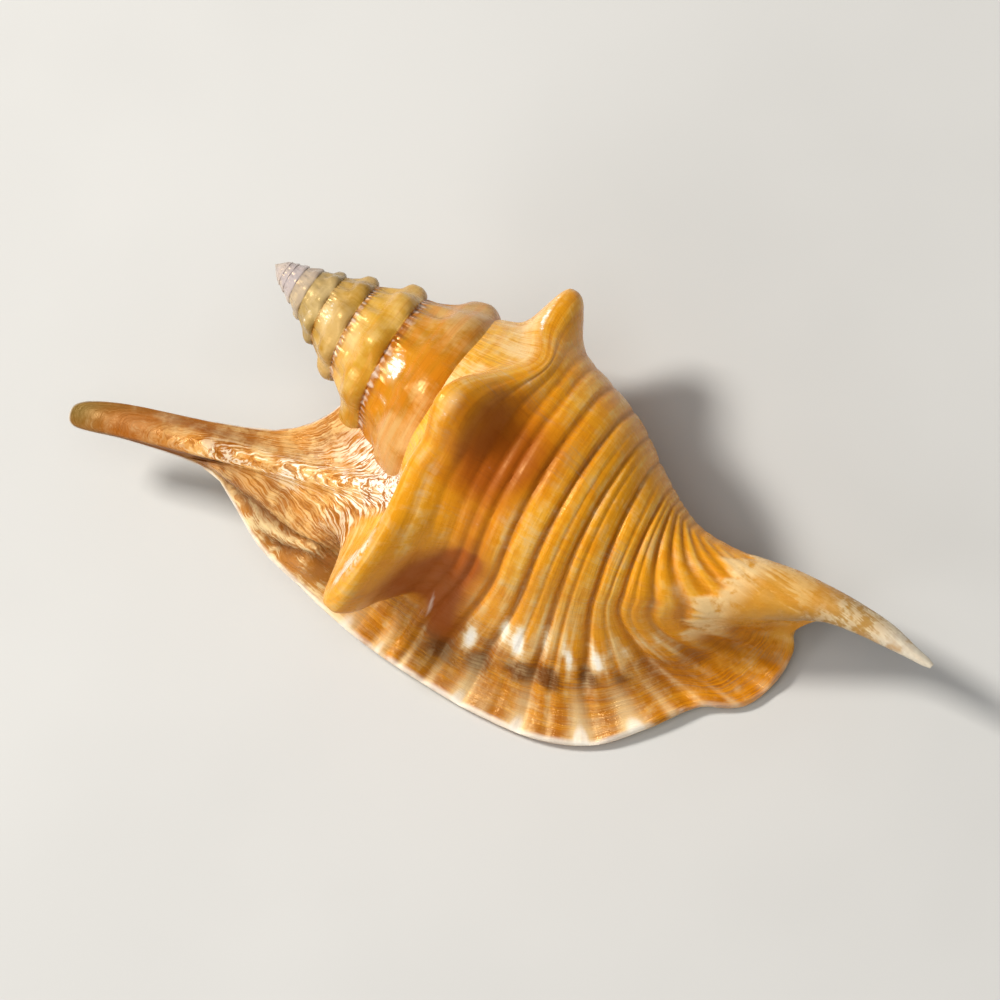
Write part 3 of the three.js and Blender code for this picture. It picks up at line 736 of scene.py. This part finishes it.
shell = coil()
whorl = wall()
join = shell.modifiers.new("join", "BOOLEAN")
join.operation = "UNION"
join.solver = "MANIFOLD"
join.object = whorl
joined = bpy.data.meshes.new_from_object(shell.evaluated_get(bpy.context.evaluated_depsgraph_get()))
shell.modifiers.clear()
shell.data = joined
bpy.data.objects.remove(whorl)
cut_to_triangles(joined)
joined.transform(Matrix.Scale(MM, 4) @ Matrix.Translation(STAND) @ TURNED.to_4x4())
shell.name = joined.name = "conch"
joined.polygons.foreach_set("use_smooth", [True] * len(joined.polygons))
joined.set_sharp_from_angle(angle=SHARP_FROM)
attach(shell, "root")
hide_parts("shell")


# Camera, at the photo's viewing angle. It aims at a point beside the axis of the shell.
TILT = math.radians(12)
PICTURE_TURN = math.atan2(0.616, 0.788)
DISTANCE = 1500
PICTURE_WIDTH = 168.07
AIM_ALONG = 54.4
AIM_ASIDE = 8.2
axis = Vector((0, -math.sin(TILT), -math.cos(TILT)))
aside = Vector((1, 0, 0))
towards = Vector((0, math.cos(TILT), -math.sin(TILT)))
right = axis * math.cos(PICTURE_TURN) - aside * math.sin(PICTURE_TURN)
down = axis * math.sin(PICTURE_TURN) + aside * math.cos(PICTURE_TURN)
target = axis * AIM_ALONG + aside * AIM_ASIDE
camera = bpy.data.objects.new("camera", bpy.data.cameras.new("camera"))
bpy.context.scene.collection.objects.link(camera)
turned = Matrix((TURNED @ right, TURNED @ -down, TURNED @ towards)).transposed()
camera.matrix_world = Matrix.Translation(placed(target + towards * DISTANCE)) @ turned.to_4x4()
camera.data.sensor_width = 36
camera.data.lens = camera.data.sensor_width * DISTANCE / PICTURE_WIDTH
camera.data.clip_start, camera.data.clip_end = 0.05, 20
bpy.context.scene.camera = camera


def tone(red, green, blue):
    """A colour given as it looks on a screen, 0 to 255, for a shader."""
    parts = [c / 255 for c in (red, green, blue)]
    return (*[c / 12.92 if c < 0.04045 else ((c + 0.055) / 1.055) ** 2.4 for c in parts], 1)


class Value:
    """An output of a shader node. Sums written with such values become Math nodes."""

    nodes = links = None

    def __init__(self, socket):
        self.socket = socket

    @classmethod
    def node(cls, kind, settings=(), sockets=(), output=0):
        made = cls.nodes.new(kind)
        for name, value in dict(settings).items():
            if name == "stops":
                ramp = made.color_ramp
                while len(ramp.elements) < len(value):
                    ramp.elements.new(0)
                for element, (place, colour) in zip(ramp.elements, value):
                    element.position = place
                    element.color = colour
            else:
                setattr(made, name, value)
        for name, value in dict(sockets).items():
            if isinstance(value, Value):
                cls.links.new(value.socket, made.inputs[name])
            else:
                made.inputs[name].default_value = value
        return cls(made.outputs[output])

    def maths(self, operation, *others):
        return Value.node("ShaderNodeMath", {"operation": operation}, enumerate((self, *others)))

    def __add__(self, other):
        return self.maths("ADD", other)

    __radd__ = __add__

    def __sub__(self, other):
        return self.maths("SUBTRACT", other)

    def __rsub__(self, other):
        return Value.node("ShaderNodeMath", {"operation": "SUBTRACT"}, {0: other, 1: self})

    def __mul__(self, other):
        return self.maths("MULTIPLY", other)

    __rmul__ = __mul__


def between(value, low, high):
    """0 where the value is below low, 1 above high, and a soft step between them."""
    settings = {"interpolation_type": "SMOOTHSTEP"}
    return Value.node("ShaderNodeMapRange", settings, {"Value": value, "From Min": low, "From Max": high})


def blend(one, other, share):
    return Value.node("ShaderNodeMix", {"data_type": "RGBA"}, {0: share, 6: one, 7: other}, 2)


class Coat:
    """A colour laid on in layers, each over a share of what lies below it."""

    def __init__(self, colour):
        self.colour = colour

    def lay(self, colour, share):
        self.colour = blend(self.colour, colour, share)


def scaled(vector, *factors):
    return Value.node("ShaderNodeVectorMath", {"operation": "MULTIPLY"}, {0: vector, 1: factors})


def added(one, other):
    return Value.node("ShaderNodeVectorMath", {"operation": "ADD"}, {0: one, 1: other})


def noise(vector, scale=1, detail=2, rough=0.5):
    sockets = {"Vector": vector, "Scale": scale, "Detail": detail, "Roughness": rough}
    return Value.node("ShaderNodeTexNoise", {}, sockets)


def grown_noise(flow, along, across, detail, rough=0.6):
    """Noise that is drawn out over the shell, with how fine it is along the growth and across it."""
    return noise(scaled(flow, along, across, 1), 1, detail, rough)


def stored(name, output="Fac"):
    return Value.node("ShaderNodeAttribute", {"attribute_name": name}, {}, output)


def begin(name):
    """A new material. What follows adds nodes to it. Returns it and its shader."""
    made = bpy.data.materials.new(name)
    made.use_nodes = True
    Value.nodes, Value.links = made.node_tree.nodes, made.node_tree.links
    return made, made.node_tree.nodes["Principled BSDF"]


def feed(shader, **sockets):
    for name, value in sockets.items():
        socket = shader.inputs[name.replace("_", " ")]
        if isinstance(value, Value):
            Value.links.new(value.socket, socket)
        else:
            socket.default_value = value


# Pale bands that cross the edge of the lip: lane, half width, strength.
LIP_BANDS = [(0.15, 0.02, 0.8), (0.215, 0.014, 0.7), (0.265, 0.01, 0.6), (0.318, 0.01, 0.5),
             (0.372, 0.016, 0.8), (0.415, 0.007, 0.2), (0.465, 0.015, 0.85), (0.515, 0.006, 0.2),
             (0.568, 0.018, 1), (0.6, 0.005, 0.2), (0.645, 0.018, 0.9), (0.69, 0.008, 0.6),
             (0.725, 0.006, 0.4), (0.762, 0.006, 0.4), (0.8, 0.007, 0.35), (0.83, 0.006, 0.3)]

# Pale ends of ribs, with painted glints laid over them: along, lane, half length, half width, strength.
RIB_ENDS = [(along, lane, 0.1, 0.0145, strong) for along, lane, strong in (
    (0.58, 0.347, 1), (0.45, 0.409, 0.7), (0.47, 0.441, 1), (0.44, 0.501, 0.4), (0.465, 0.562, 0.85),
    (0.49, 0.63, 0.9), (0.46, 0.694, 0.4), (0.44, 0.66, 0.3), (0.4, 0.745, 0.4), (0.36, 0.785, 0.4))]

# Dark spots in a row inside the edge of the lip: along, lane, half length, half width, strength.
DARK_SPOTS = [(0.76, 0.3, 0.1, 0.028, 0.6), (0.715, 0.372, 0.075, 0.026, 0.85),
              (0.645, 0.447, 0.075, 0.024, 1), (0.63, 0.507, 0.08, 0.028, 1),
              (0.59, 0.601, 0.065, 0.02, 0.95), (0.64, 0.662, 0.06, 0.018, 0.5)]

# Brown patches, deepened as painted shade in the hollow by the middle knob and under the horn: age, lane,
# half length, half width, strength.
BROWN_PATCHES_AND_SHADE = [(0.25, 0.235, 0.075, 0.06, 0.6), (0.245, 0.33, 0.06, 0.06, 0.58), (0.3, 0.27, 0.05, 0.07, 0.42),
           (0.47, 0.31, 0.1, 0.045, 0.95), (0.62, 0.28, 0.13, 0.045, 1.05), (0.8, 0.265, 0.16, 0.045, 0.95),
           (1.02, 0.29, 0.16, 0.035, 0.8), (0.66, 0.215, 0.16, 0.035, 0.7)]

# In the same way, a painted sheen over the patch under the horn, a pale painted reflection.
SHEEN = [(0.92, 0.258, 0.12, 0.005, 1), (1.02, 0.247, 0.08, 0.006, 0.5)]

# In the same way, painted glints on the spire and the knobs: white wavy painted highlights with paler cream
# about them.
GLINTS = [(-0.735, 0.045, 0.04, 0.035, 1), (-0.665, 0.06, 0.012, 0.03, 0.7), (-0.79, 0.13, 0.03, 0.02, 0.4),
          (-1.72, 0.05, 0.05, 0.04, 0.45), (-1.66, 0.15, 0.03, 0.02, 0.4), (-2.72, 0.05, 0.08, 0.07, 0.7),
          (-3.65, 0.15, 0.08, 0.06, 0.6), (-4.65, 0.1, 0.1, 0.08, 0.4), (0.05, 0.132, 0.035, 0.012, 0.9),
          (0.345, 0.128, 0.04, 0.012, 0.8), (0.3, 0.12, 0.02, 0.015, 0.4), (0.252, 0.164, 0.02, 0.015, 0.6)]

# Lengths that the growth lines are drawn to, in millimetres: the wing's, and that of all lanes together.
# After turn 0 a turn runs this many times further than the shoulder's circle there.
WING_LENGTH = 34
LANES_LENGTH = 85
LATE_RUN = 1.07

# The collar's beads in a turn, and the turns over which the spire pales.
BEADS = 56
SPIRE_TURNS = 6


def over_patches(ages, lanes, rows):
    """How strong a table of soft patches is at each place."""
    return sum(deep * np.exp(-(((ages - at) / long) ** 2) - ((lanes - lane) / wide) ** 2)
               for at, lane, long, wide, deep in rows)


def markings(ages, lanes):
    """What the finish varies with, for arrays of ages and lanes: values from 0 to 1 by name.

    Each rise and fall gives the age, along or lane where a marking starts or ends, and the width of its edge.
    """
    along = np.clip(ages - ROOT_TURN, 0, 1)
    wing = rise(ages, ROOT_TURN - 0.04, 0.08)
    body = rise(ages, -0.45, 0.1)
    grown = np.minimum(ages, ROOT_TURN)
    run = np.where(grown < 0, GROWTH ** grown / math.log(GROWTH), 1 / math.log(GROWTH) + grown * LATE_RUN)
    home = np.where(ages > COIL_END, home_lane(ages, lanes), lanes)
    around = 2 * math.pi * SHOULDER_RADIUS * run + WING_LENGTH * along
    flow = [around, LANES_LENGTH * home * np.minimum(GROWTH ** ages, 1), 0 * ages]
    front = rise(lanes, 0.135, 0.02) * fall(lanes, 0.86, 0.02) * wing
    inland = rise(along, 0.5, 0.4) * 0.7 + rise(along, 0.86, 0.12) * 0.5
    bands = sum(strong * bump(lanes - lane, wide) for lane, wide, strong in LIP_BANDS)
    edge_of_back = 0.107 + 0.018 * rise(along, 0.3, 0.2)
    back = wing * fall(lanes, edge_of_back, 0.007)
    streaks = back * fall(along, 0.36, 0.3) * (1 - 0.5 * rise(lanes, 0.1, 0.01))
    margin = rise(along, 0.95, 0.04) * rise(lanes, 0.094, 0.005) * fall(lanes, 0.15, 0.03)
    corner = rise(along, 0.86, 0.12) * bump(lanes - 0.14, 0.018) * 0.8
    near_root = fall(along, 0.02, 0.2) * fall(lanes, 0.13, 0.02)
    near_spire = fall(along, 0.5, 0.3) * fall(lanes, 0.012, 0.02) * 0.8
    folds = np.array(FOLDS[0])
    verge = rise(along, np.interp(lanes, folds[:, 1], folds[:, 0]), 0.05) * rise(lanes, 0.1, 0.004)
    verge = verge * fall(lanes, 0.132, 0.008) * wing
    inner_part = np.clip(rise(ages, -0.52, 0.03) + (ages > -0.75) * rise(lanes, 0.3, 0.05), 0, 1)
    callus = inner_part * fall(ages - 0.02 * np.sin(lanes * 37), -0.36, 0.05) * rise(lanes, 0.1, 0.05)
    ramp = body * fall(lanes, 0.1, 0.05) * (1 - back)
    crests = fall(along, 0.62, 0.2) * (1 - glaze(ages, lanes))
    return {
        "flow": np.stack(flow, -1),
        "groove": groove_depth(ages, lanes) * body * crests,
        "bands": np.clip(bands * inland * front, 0, 1),
        "rib_ends": np.clip(over_patches(along, lanes, RIB_ENDS) * wing, 0, 1),
        "rim": rise(along, 0.965, 0.03) * wing,
        # Brown patches, deepened as painted shade in the hollows.
        "dark": np.clip(over_patches(ages, lanes, BROWN_PATCHES_AND_SHADE), 0, 1),
        "sheen": np.clip(over_patches(ages, lanes, SHEEN), 0, 1),
        "glint": np.clip(over_patches(ages, lanes, GLINTS), 0, 1),
        "spots": np.clip(over_patches(along, lanes, DARK_SPOTS), 0, 1) * wing,
        "bright": rise(lanes, 0.21, 0.05) * rise(along, 0.02, 0.35) * fall(along, 0.55, 0.12) * wing,
        # The horn's crest, where a painted highlight goes.
        "ridge": bump(lanes - 0.127, 0.005) * rise(ages, 0.36, 0.06) * fall(ages, 0.62, 0.1),
        "lip": wing * rise(along, 0.35, 0.3) * front,
        "back": back,
        "streaks": streaks,
        "finger": rise(along, 0.55, 0.2) * rise(lanes, 0.03, 0.012) * fall(lanes, 0.09, 0.01) * wing,
        "tip": rise(along, 0.76, 0.16) * bump(lanes - 0.063, 0.014),
        "margin": np.clip((margin + corner) * wing, 0, 1),
        "attach": wing * np.maximum(near_root, near_spire),
        "ramp": ramp,
        "fold": fold_depth(ages, lanes),
        "glaze": glaze(ages, lanes),
        "glaze_edge": glaze(ages, lanes) * fall(lanes, 0.85, 0.022),
        "canal": rise(lanes, 0.875, 0.06),
        "canal_end": rise(lanes, 0.945, 0.03),
        "lobe": wing * rise(lanes, 0.7, 0.05) * fall(lanes, 0.86, 0.02) * rise(along, 0.35, 0.3),
        "verge": verge,
        "callus": callus,
        "body": body,
        "foot": (1 - body) * rise(lanes, 0.08, 0.09),
        "spire": np.clip(-(ages + 0.5) / SPIRE_TURNS, 0, 1),
        "collar": bump(lanes, 0.026) * (1 - wing) * (1 - 0.75 * body) * rise(ages, -3.6, 1.6),
        "bead": 0.5 + 0.5 * np.sin(2 * math.pi * BEADS * ages + 1.6 * np.sin(ages * 41) + np.sin(ages * 97)),
    }


def settle(mesh):
    """Brings the mesh inside the box of the piece it replaces."""
    spot = np.empty(3 * len(mesh.vertices), np.float32)
    mesh.vertices.foreach_get("co", spot)
    spot = spot.reshape(-1, 3).astype(float)
    low, high = [np.array(corner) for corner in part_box("shell")]
    least, most = spot.min(0), spot.max(0)
    share = np.minimum((high - low) / (most - least), 1)
    spot = np.clip(least, low, high - (most - least) * share) + (spot - least) * share
    mesh.vertices.foreach_set("co", spot.astype(np.float32).ravel())
    mesh.update()


def keep_markings(mesh):
    """Stores the markings on the corners of the mesh, and takes the working layers away."""
    def layer(name):
        flat = np.empty(2 * len(mesh.loops), np.float32)
        mesh.uv_layers[name].data.foreach_get("uv", flat)
        return flat.reshape(-1, 2).astype(float)

    growth, side = layer("growth"), layer("side")
    values = markings(growth[:, 0], growth[:, 1])
    values["inside"] = side[:, 0]
    for name, value in values.items():
        kind, field = ("FLOAT_VECTOR", "vector") if value.ndim == 2 else ("FLOAT", "value")
        kept = mesh.attributes.new(name, kind, "CORNER")
        kept.data.foreach_set(field, value.astype(np.float32).ravel())
    for name in ("growth", "side"):
        mesh.uv_layers.remove(mesh.uv_layers[name])


GOLD = tone(232, 154, 26)
PALE_GOLD = tone(252, 198, 74)
ORANGE = tone(224, 140, 16)
DEEP_ORANGE = tone(208, 118, 12)
BROWN = tone(146, 76, 0)
DARK_BROWN = tone(98, 46, 0)
UMBER = tone(148, 64, 0)
CREAM = tone(246, 218, 162)
WHITE = tone(255, 248, 234)
PINK = tone(176, 134, 92)
OLIVE = tone(110, 82, 28)
SAND = tone(164, 124, 62)
IVORY = tone(216, 202, 166)
BONE = tone(224, 218, 202)
LILAC = tone(176, 150, 140)
PEACH = tone(240, 190, 138)
VIOLET = tone(176, 164, 162)
HONEY = tone(226, 166, 66)
TAN = tone(206, 136, 56)
PALE_TAN = tone(226, 176, 104)
FINGER_BROWN = tone(142, 92, 42)
CANAL_BROWN = tone(178, 124, 48)
GLAZE_PALE = tone(226, 186, 118)
GLAZE_AMBER = tone(204, 142, 50)
GLAZE_BROWN = tone(190, 134, 54)
GLAZE_RIM = tone(248, 216, 160)
GLOSS_TINT = tone(255, 214, 150)
FLOOR_TONES = tone(196, 195, 192), tone(200, 199, 196)

# The spire from its last whorl, 0, to its tip, 1.
SPIRE_TONES = [(0, tone(184, 118, 22)), (0.1, tone(184, 128, 30)), (0.2, tone(200, 152, 48)),
               (0.37, tone(168, 126, 42)), (0.53, tone(164, 136, 80)), (0.65, tone(168, 146, 112)),
               (0.75, tone(172, 156, 144)), (0.85, VIOLET)]

# Depth of the fine relief in the finish, in metres, and its strength. Lime's index of refraction.
RELIEF_DEPTH = 0.0004
RELIEF_STRENGTH = 0.7
LIME_IOR = 1.54


def shell_finish():
    made, shader = begin("shell_finish")
    flow = stored("flow", "Vector")
    place = Value.node("ShaderNodeTexCoord", {}, {}, "Object")
    back, bands, glazed, lobe, lip = [stored(name) for name in ("back", "bands", "glaze", "lobe", "lip")]
    groove, dark, ramp, rib_ends = [stored(name) for name in ("groove", "dark", "ramp", "rib_ends")]
    body, spire, finger, inside = [stored(name) for name in ("body", "spire", "finger", "inside")]
    swirl = noise(place, 260, 2)
    fine_swirl = noise(place, 430, 1)
    bent = (swirl - 0.5) * (1.2 + back * 0.8) + (fine_swirl - 0.5) * (0.15 + back * 1.4)
    bent_flow = added(flow, Value.node("ShaderNodeCombineXYZ", {}, {0: bent}))
    mottle = noise(place, 95, 4, 0.6)
    fine_mottle = noise(place, 420, 3, 0.6)
    lines = grown_noise(bent_flow, 2.2, 0.1, 4, 0.65)
    thin_lines = grown_noise(bent_flow, 3.6, 0.12, 3, 0.7)
    wide_lines = grown_noise(bent_flow, 0.55, 0.05, 3)
    striae = grown_noise(flow, 0.12, 2.2, 3)
    wide_striae = grown_noise(flow, 0.04, 0.55, 2, 0.5)
    uneven, fine_uneven, lined = mottle - 0.5, fine_mottle - 0.5, lines - 0.5
    ruled, wide_ruled = striae - 0.5, wide_striae - 0.5

    # The body: golden with painted highlights on rib backs and ramp; brown grooves and hollows, partly
    # painted shade.
    coat = Coat(GOLD)
    coat.lay(ORANGE, between(mottle * 0.5 + wide_lines * 0.5, 0.42, 0.6))
    # Pale gold on the rib backs and on the ramp is painted highlight.
    crest = between(groove, 0.4, 0) * body * between(dark, 0.35, 0.03)
    shine = crest * between(mottle * 0.5 + wide_striae * 0.5 + fine_uneven * 0.3, 0.42, 0.62)
    coat.lay(PALE_GOLD, shine * 0.55)
    coat.lay(PALE_GOLD, ramp * between(mottle * 0.6 + wide_lines * 0.4, 0.42, 0.58) * 0.5)
    bright = crest * stored("bright") * between(wide_striae + uneven * 0.8, 0.42, 0.7)
    coat.lay(CREAM, bright * 0.5)
    # Brown in the grooves: partly their own colour, partly painted shade in them.
    low = groove + wide_ruled * 0.7 + uneven * 0.7 + fine_uneven * 0.3
    coat.lay(BROWN, between(low, 0.15, 1.35) * 0.72)
    coat.lay(BROWN, between(striae, 0.48, 0.68) * 0.14)
    coat.lay(BROWN, between(fine_mottle * 0.7 + mottle * 0.3, 0.5, 0.64) * 0.16)
    coat.lay(BROWN, lip * 0.42)
    coat.lay(BROWN, between(lines * 0.4 + thin_lines * 0.6, 0.42, 0.62) * (0.04 + lip * 0.6))
    coat.lay(BROWN, lip * between(wide_lines * 0.5 + mottle * 0.5, 0.44, 0.6) * 0.6)
    coat.lay(BROWN, between(lines, 0.46, 0.62) * ramp * 0.22)
    # Cream on the ramp: its paler colour, partly painted highlight.
    coat.lay(CREAM, between(lines * 0.3 + mottle * 0.7, 0.54, 0.4) * ramp * 0.75)
    # Umber patches: brown colour, deepened as painted shade in the hollow and under the horn.
    patch_and_shade = dark + uneven * 0.3 + fine_uneven * 0.12
    coat.lay(UMBER, between(patch_and_shade, -0.05, 0.85) * 0.92)
    # A painted pale sheen, a painted reflection, over the patch under the horn.
    coat.lay(WHITE, between(stored("sheen") + ruled * 0.8, 0.3, 1.1) * 0.4)

    # The wing behind the shoulder: brown and orange, wavy pale streaks along the growth, painted white glints
    # on them.
    behind = Coat(TAN)
    behind.lay(BROWN, between(mottle, 0.4, 0.62) * 0.7)
    behind.lay(PALE_TAN, between(fine_mottle, 0.42, 0.62) * 0.7)
    waves = grown_noise(bent_flow, 1.9, 1, 3, 0.65)
    behind.lay(BROWN, between(waves, 0.48, 0.38) * 0.7)
    streaked = stored("streaks")
    streaks = between(waves, 0.49, 0.58) * between(mottle, 0.3, 0.5)
    behind.lay(CREAM, streaks * (streaked * 0.7 + 0.3))
    # White on the streaks: painted glints.
    behind.lay(WHITE, between(waves + uneven * 0.5, 0.52, 0.6) * streaked * 0.95)
    pinkish = blend(FINGER_BROWN, PINK, between(noise(place, 150, 3, 0.6), 0.42, 0.62))
    pinkish = blend(pinkish, BROWN, between(mottle, 0.3, 0.5) * 0.8 + 0.2)
    behind.lay(pinkish, finger * 0.95)
    behind.lay(OLIVE, stored("tip"))
    coat.lay(behind.colour, back)
    # White by the wing's root and by the spire: pale wavelets with painted glints.
    whitish = between(waves + fine_uneven * 0.5, 0.42, 0.57)
    coat.lay(WHITE, stored("attach") * whitish * 0.9)
    margin = stored("margin")
    pale_margin = between(margin + uneven * 1.4 + lined * 1.2, 0.4, 0.85)
    coat.lay(CREAM, pale_margin * between(margin + back, 0.02, 0.2) * 0.85)
    pale_verge = between(mottle + fine_uneven * 0.4 + (waves - 0.5) * 0.8, 0.49, 0.64)
    coat.lay(blend(blend(TAN, BROWN, 0.4), CREAM, pale_verge), stored("verge") * 0.8)
    # Dark brown in the folds: painted shade in the creases.
    coat.lay(DARK_BROWN, stored("fold") * 0.9)

    # The front of the lip: a dark band, pale bands that cross the edge, and growth lines.
    shade = stored("spots") + lined * 0.9 + uneven * 0.9 - rib_ends * 0.5
    coat.lay(DARK_BROWN, between(shade, 0, 0.75) * 0.95)
    coat.lay(blend(ORANGE, BROWN, between(lines * 0.5 + mottle * 0.5, 0.42, 0.6)), lobe * 0.6)
    coat.lay(HONEY, lobe * between(mottle, 0.45, 0.3) * 0.8)
    clear = between(dark - rib_ends * 2 - bands, 0.45, 0.1)
    pale_band = between(bands + lined * 0.6 + uneven * 0.8, 0, 0.85) * clear
    coat.lay(CREAM, pale_band * 0.62)
    coat.lay(WHITE, pale_band * between(bands, 0.6, 1) * 0.7)
    # Pale rib ends with painted white glints on them.
    ends = rib_ends + fine_uneven * 0.9 + wide_ruled * 0.9 + lined * 0.5
    coat.lay(CREAM, between(ends, -0.05, 0.75) * clear * 0.85)
    coat.lay(WHITE, between(ends, 0.3, 1))
    # A white line along the horn's crest: a painted highlight.
    ridge = stored("ridge") + fine_uneven * 1.2 + lined * 0.8
    coat.lay(WHITE, between(ridge, 0.35, 0.95) * 0.7)
    coat.lay(WHITE, stored("rim") * between(mottle, 0.35, 0.55) * (1 - lobe * 0.7) * 0.7)

    # The glaze by the canal, and the canal.
    glaze_tone = blend(GLAZE_PALE, GLAZE_AMBER, between(mottle + ruled * 0.5, 0.34, 0.47))
    glaze_tone = blend(glaze_tone, GLAZE_BROWN, between(mottle, 0.46, 0.62) * 0.7)
    coat.lay(glaze_tone, glazed * 0.8)
    coat.lay(GLAZE_RIM, stored("glaze_edge") * between(fine_mottle, 0.3, 0.5) * 0.7)
    canal = stored("canal")
    canal_end = stored("canal_end")
    speckled = between(fine_mottle + ruled * 0.6 + uneven * 0.6, 0.42, 0.62)
    pale_canal = between(canal * 0.6 + uneven * 2.2, 0.15, 0.6)
    canal_tone = blend(CANAL_BROWN, blend(SAND, IVORY, speckled), pale_canal)
    canal_tone = blend(canal_tone, BROWN, between(fine_mottle * 0.5 + mottle * 0.5, 0.5, 0.6) * 0.3)
    coat.lay(canal_tone, canal * 0.85)
    coat.lay(BONE, canal_end * between(mottle, 0.35, 0.5) * 0.7)

    # The spire pales towards its tip.
    high = Coat(Value.node("ShaderNodeValToRGB", {"stops": SPIRE_TONES}, {"Fac": spire}))
    # Pale mottles: partly the spire's own colour, partly painted highlights.
    high.lay(CREAM, between(mottle * 0.85 + lines * 0.15, 0.46, 0.62) * 0.28)
    foot = stored("foot") * between(mottle, 0.6, 0.4) * between(spire, 0.5, 0.1)
    high.lay(BROWN, foot * 0.45)
    high.lay(ORANGE, between(mottle, 0.5, 0.4) * between(spire, 0.3, 0.05) * 0.3)
    high.lay(DEEP_ORANGE, between(wide_striae, 0.45, 0.6) * between(spire, 0.4, 0.05) * 0.3)
    high.lay(BROWN, between(striae, 0.5, 0.65) * between(spire, 0.6, 0.1) * 0.2)
    high.lay(BROWN, between(lines, 0.5, 0.7) * 0.1)
    coat.colour = blend(high.colour, coat.colour, body)

    # A pinkish beaded collar runs along the suture; painted white glints lie on the spire and the knobs.
    bead = stored("bead")
    collar = stored("collar")
    coat.lay(UMBER, between(collar, 0.3, 0.9) * 0.6)
    teeth = between(collar * (0.5 + bead * 0.6) + fine_uneven * 2, 0.55, 1.05)
    coat.lay(blend(PINK, WHITE, bead * 0.8), teeth * 0.6)
    glint = stored("glint")
    wavy = glint * 1.2 + (grown_noise(bent_flow, 1.6, 0.6, 3, 0.7) - 0.5) * 2.4
    paler = between(glint + uneven, 0.2, 1) * between(glint, 0.02, 0.2)
    coat.lay(CREAM, paler * 0.5)
    coat.lay(WHITE, between(wavy, 0.75, 1.15) * between(glint, 0.05, 0.3))

    # On the underside the body has a smooth pale glaze beside the opening, and the inside is peach and cream.
    callus = stored("callus")
    peachy = blend(CREAM, PEACH, between(mottle, 0.4, 0.65))
    coat.lay(peachy, callus * 0.85)
    inner = blend(peachy, WHITE, between(wide_lines, 0.5, 0.7) * 0.5)
    inner = blend(inner, LILAC, canal_end * 0.8)
    coat.lay(inner, inside)

    # Fine relief and gloss.
    fine = grown_noise(bent_flow, 4.5, 0.3, 2)
    rough_part = 0.1 + body * 0.15 + lip * 0.35 + back * 0.5
    relief = fine * rough_part * 0.5 + lines * rough_part * 0.7 + striae * 0.22 * (1 - back)
    relief = relief + fine_mottle * (0.12 + body * 0.18)
    relief = relief + waves * back * (1.1 - finger * 0.9) + bead * collar * 1.2
    outside = (1 - inside * 0.9) * (1 - callus * 0.8)
    height = relief * (1 - dark * 0.7) * outside
    sockets = {"Height": height, "Distance": RELIEF_DEPTH, "Strength": RELIEF_STRENGTH}
    normal = Value.node("ShaderNodeBump", {}, sockets)
    rough = 0.25 + fine_uneven * 0.5 + lined * 0.3
    rough = rough + groove * 0.15 + finger * 0.2 + dark * 0.3
    feed(shader, Base_Color=coat.colour, Roughness=rough * outside + inside * 0.18, Normal=normal)
    feed(shader, Specular_Tint=GLOSS_TINT, IOR=LIME_IOR)
    return made


def floor_finish():
    made, shader = begin("floor_finish")
    place = Value.node("ShaderNodeTexCoord", {}, {}, "Object")
    grain = noise(place, 12, 3)
    colour = blend(*FLOOR_TONES, between(grain, 0.35, 0.65))
    feed(shader, Base_Color=colour, Roughness=0.75 + (grain - 0.5) * 0.1)
    return made


settle(joined)
keep_markings(joined)
shell.data.materials.clear()
shell.data.materials.append(shell_finish())

# The floor is a plain square of this half width, in metres.
FLOOR_REACH = 3
floor_mesh = bpy.data.meshes.new("floor")
corners = [(FLOOR_REACH * x, FLOOR_REACH * y, 0) for x, y in ((-1, -1), (1, -1), (1, 1), (-1, 1))]
floor_mesh.from_pydata(corners, [], [(0, 1, 2, 3)])
floor = bpy.data.objects.new("floor", floor_mesh)
bpy.context.scene.collection.objects.link(floor)
floor.data.materials.append(floor_finish())


# Of each light: place and width in metres, power in watts, colour.
LIGHTS = {"key": ((-0.72, -0.5, 0.58), 0.22, 11.5, (1, 0.97, 0.92)),
          "front": ((-0.15, -0.1, 1.4), 0.9, 5, (1, 1, 1)),
          "side": ((-0.95, 0.5, 0.6), 0.5, 3.4, (1, 1, 1))}
SKY = 0.22


def area_light(name, aim, place, width, power, colour):
    """A square softbox. Its place is in picture axes, right, down and towards the camera, from the aim on."""
    data = bpy.data.lights.new(name, "AREA")
    data.shape = "SQUARE"
    data.size = width
    data.energy = power
    data.color = colour
    lamp = bpy.data.objects.new(name, data)
    bpy.context.scene.collection.objects.link(lamp)
    lamp.location = aim + (turned @ Vector((place[0], -place[1], place[2])))
    lamp.rotation_mode = "QUATERNION"
    lamp.rotation_quaternion = (aim - lamp.location).to_track_quat("-Z", "Y")
    return lamp


lamps = {name: area_light(name, placed(target), *light) for name, light in LIGHTS.items()}
lamps["front"].visible_glossy = False
world = bpy.data.worlds.new("studio")
bpy.context.scene.world = world
world.use_nodes = True
sky = world.node_tree.nodes["Background"].inputs
sky["Color"].default_value = (1, 1, 1, 1)
sky["Strength"].default_value = SKY
bpy.context.scene.view_settings.view_transform = "Standard"
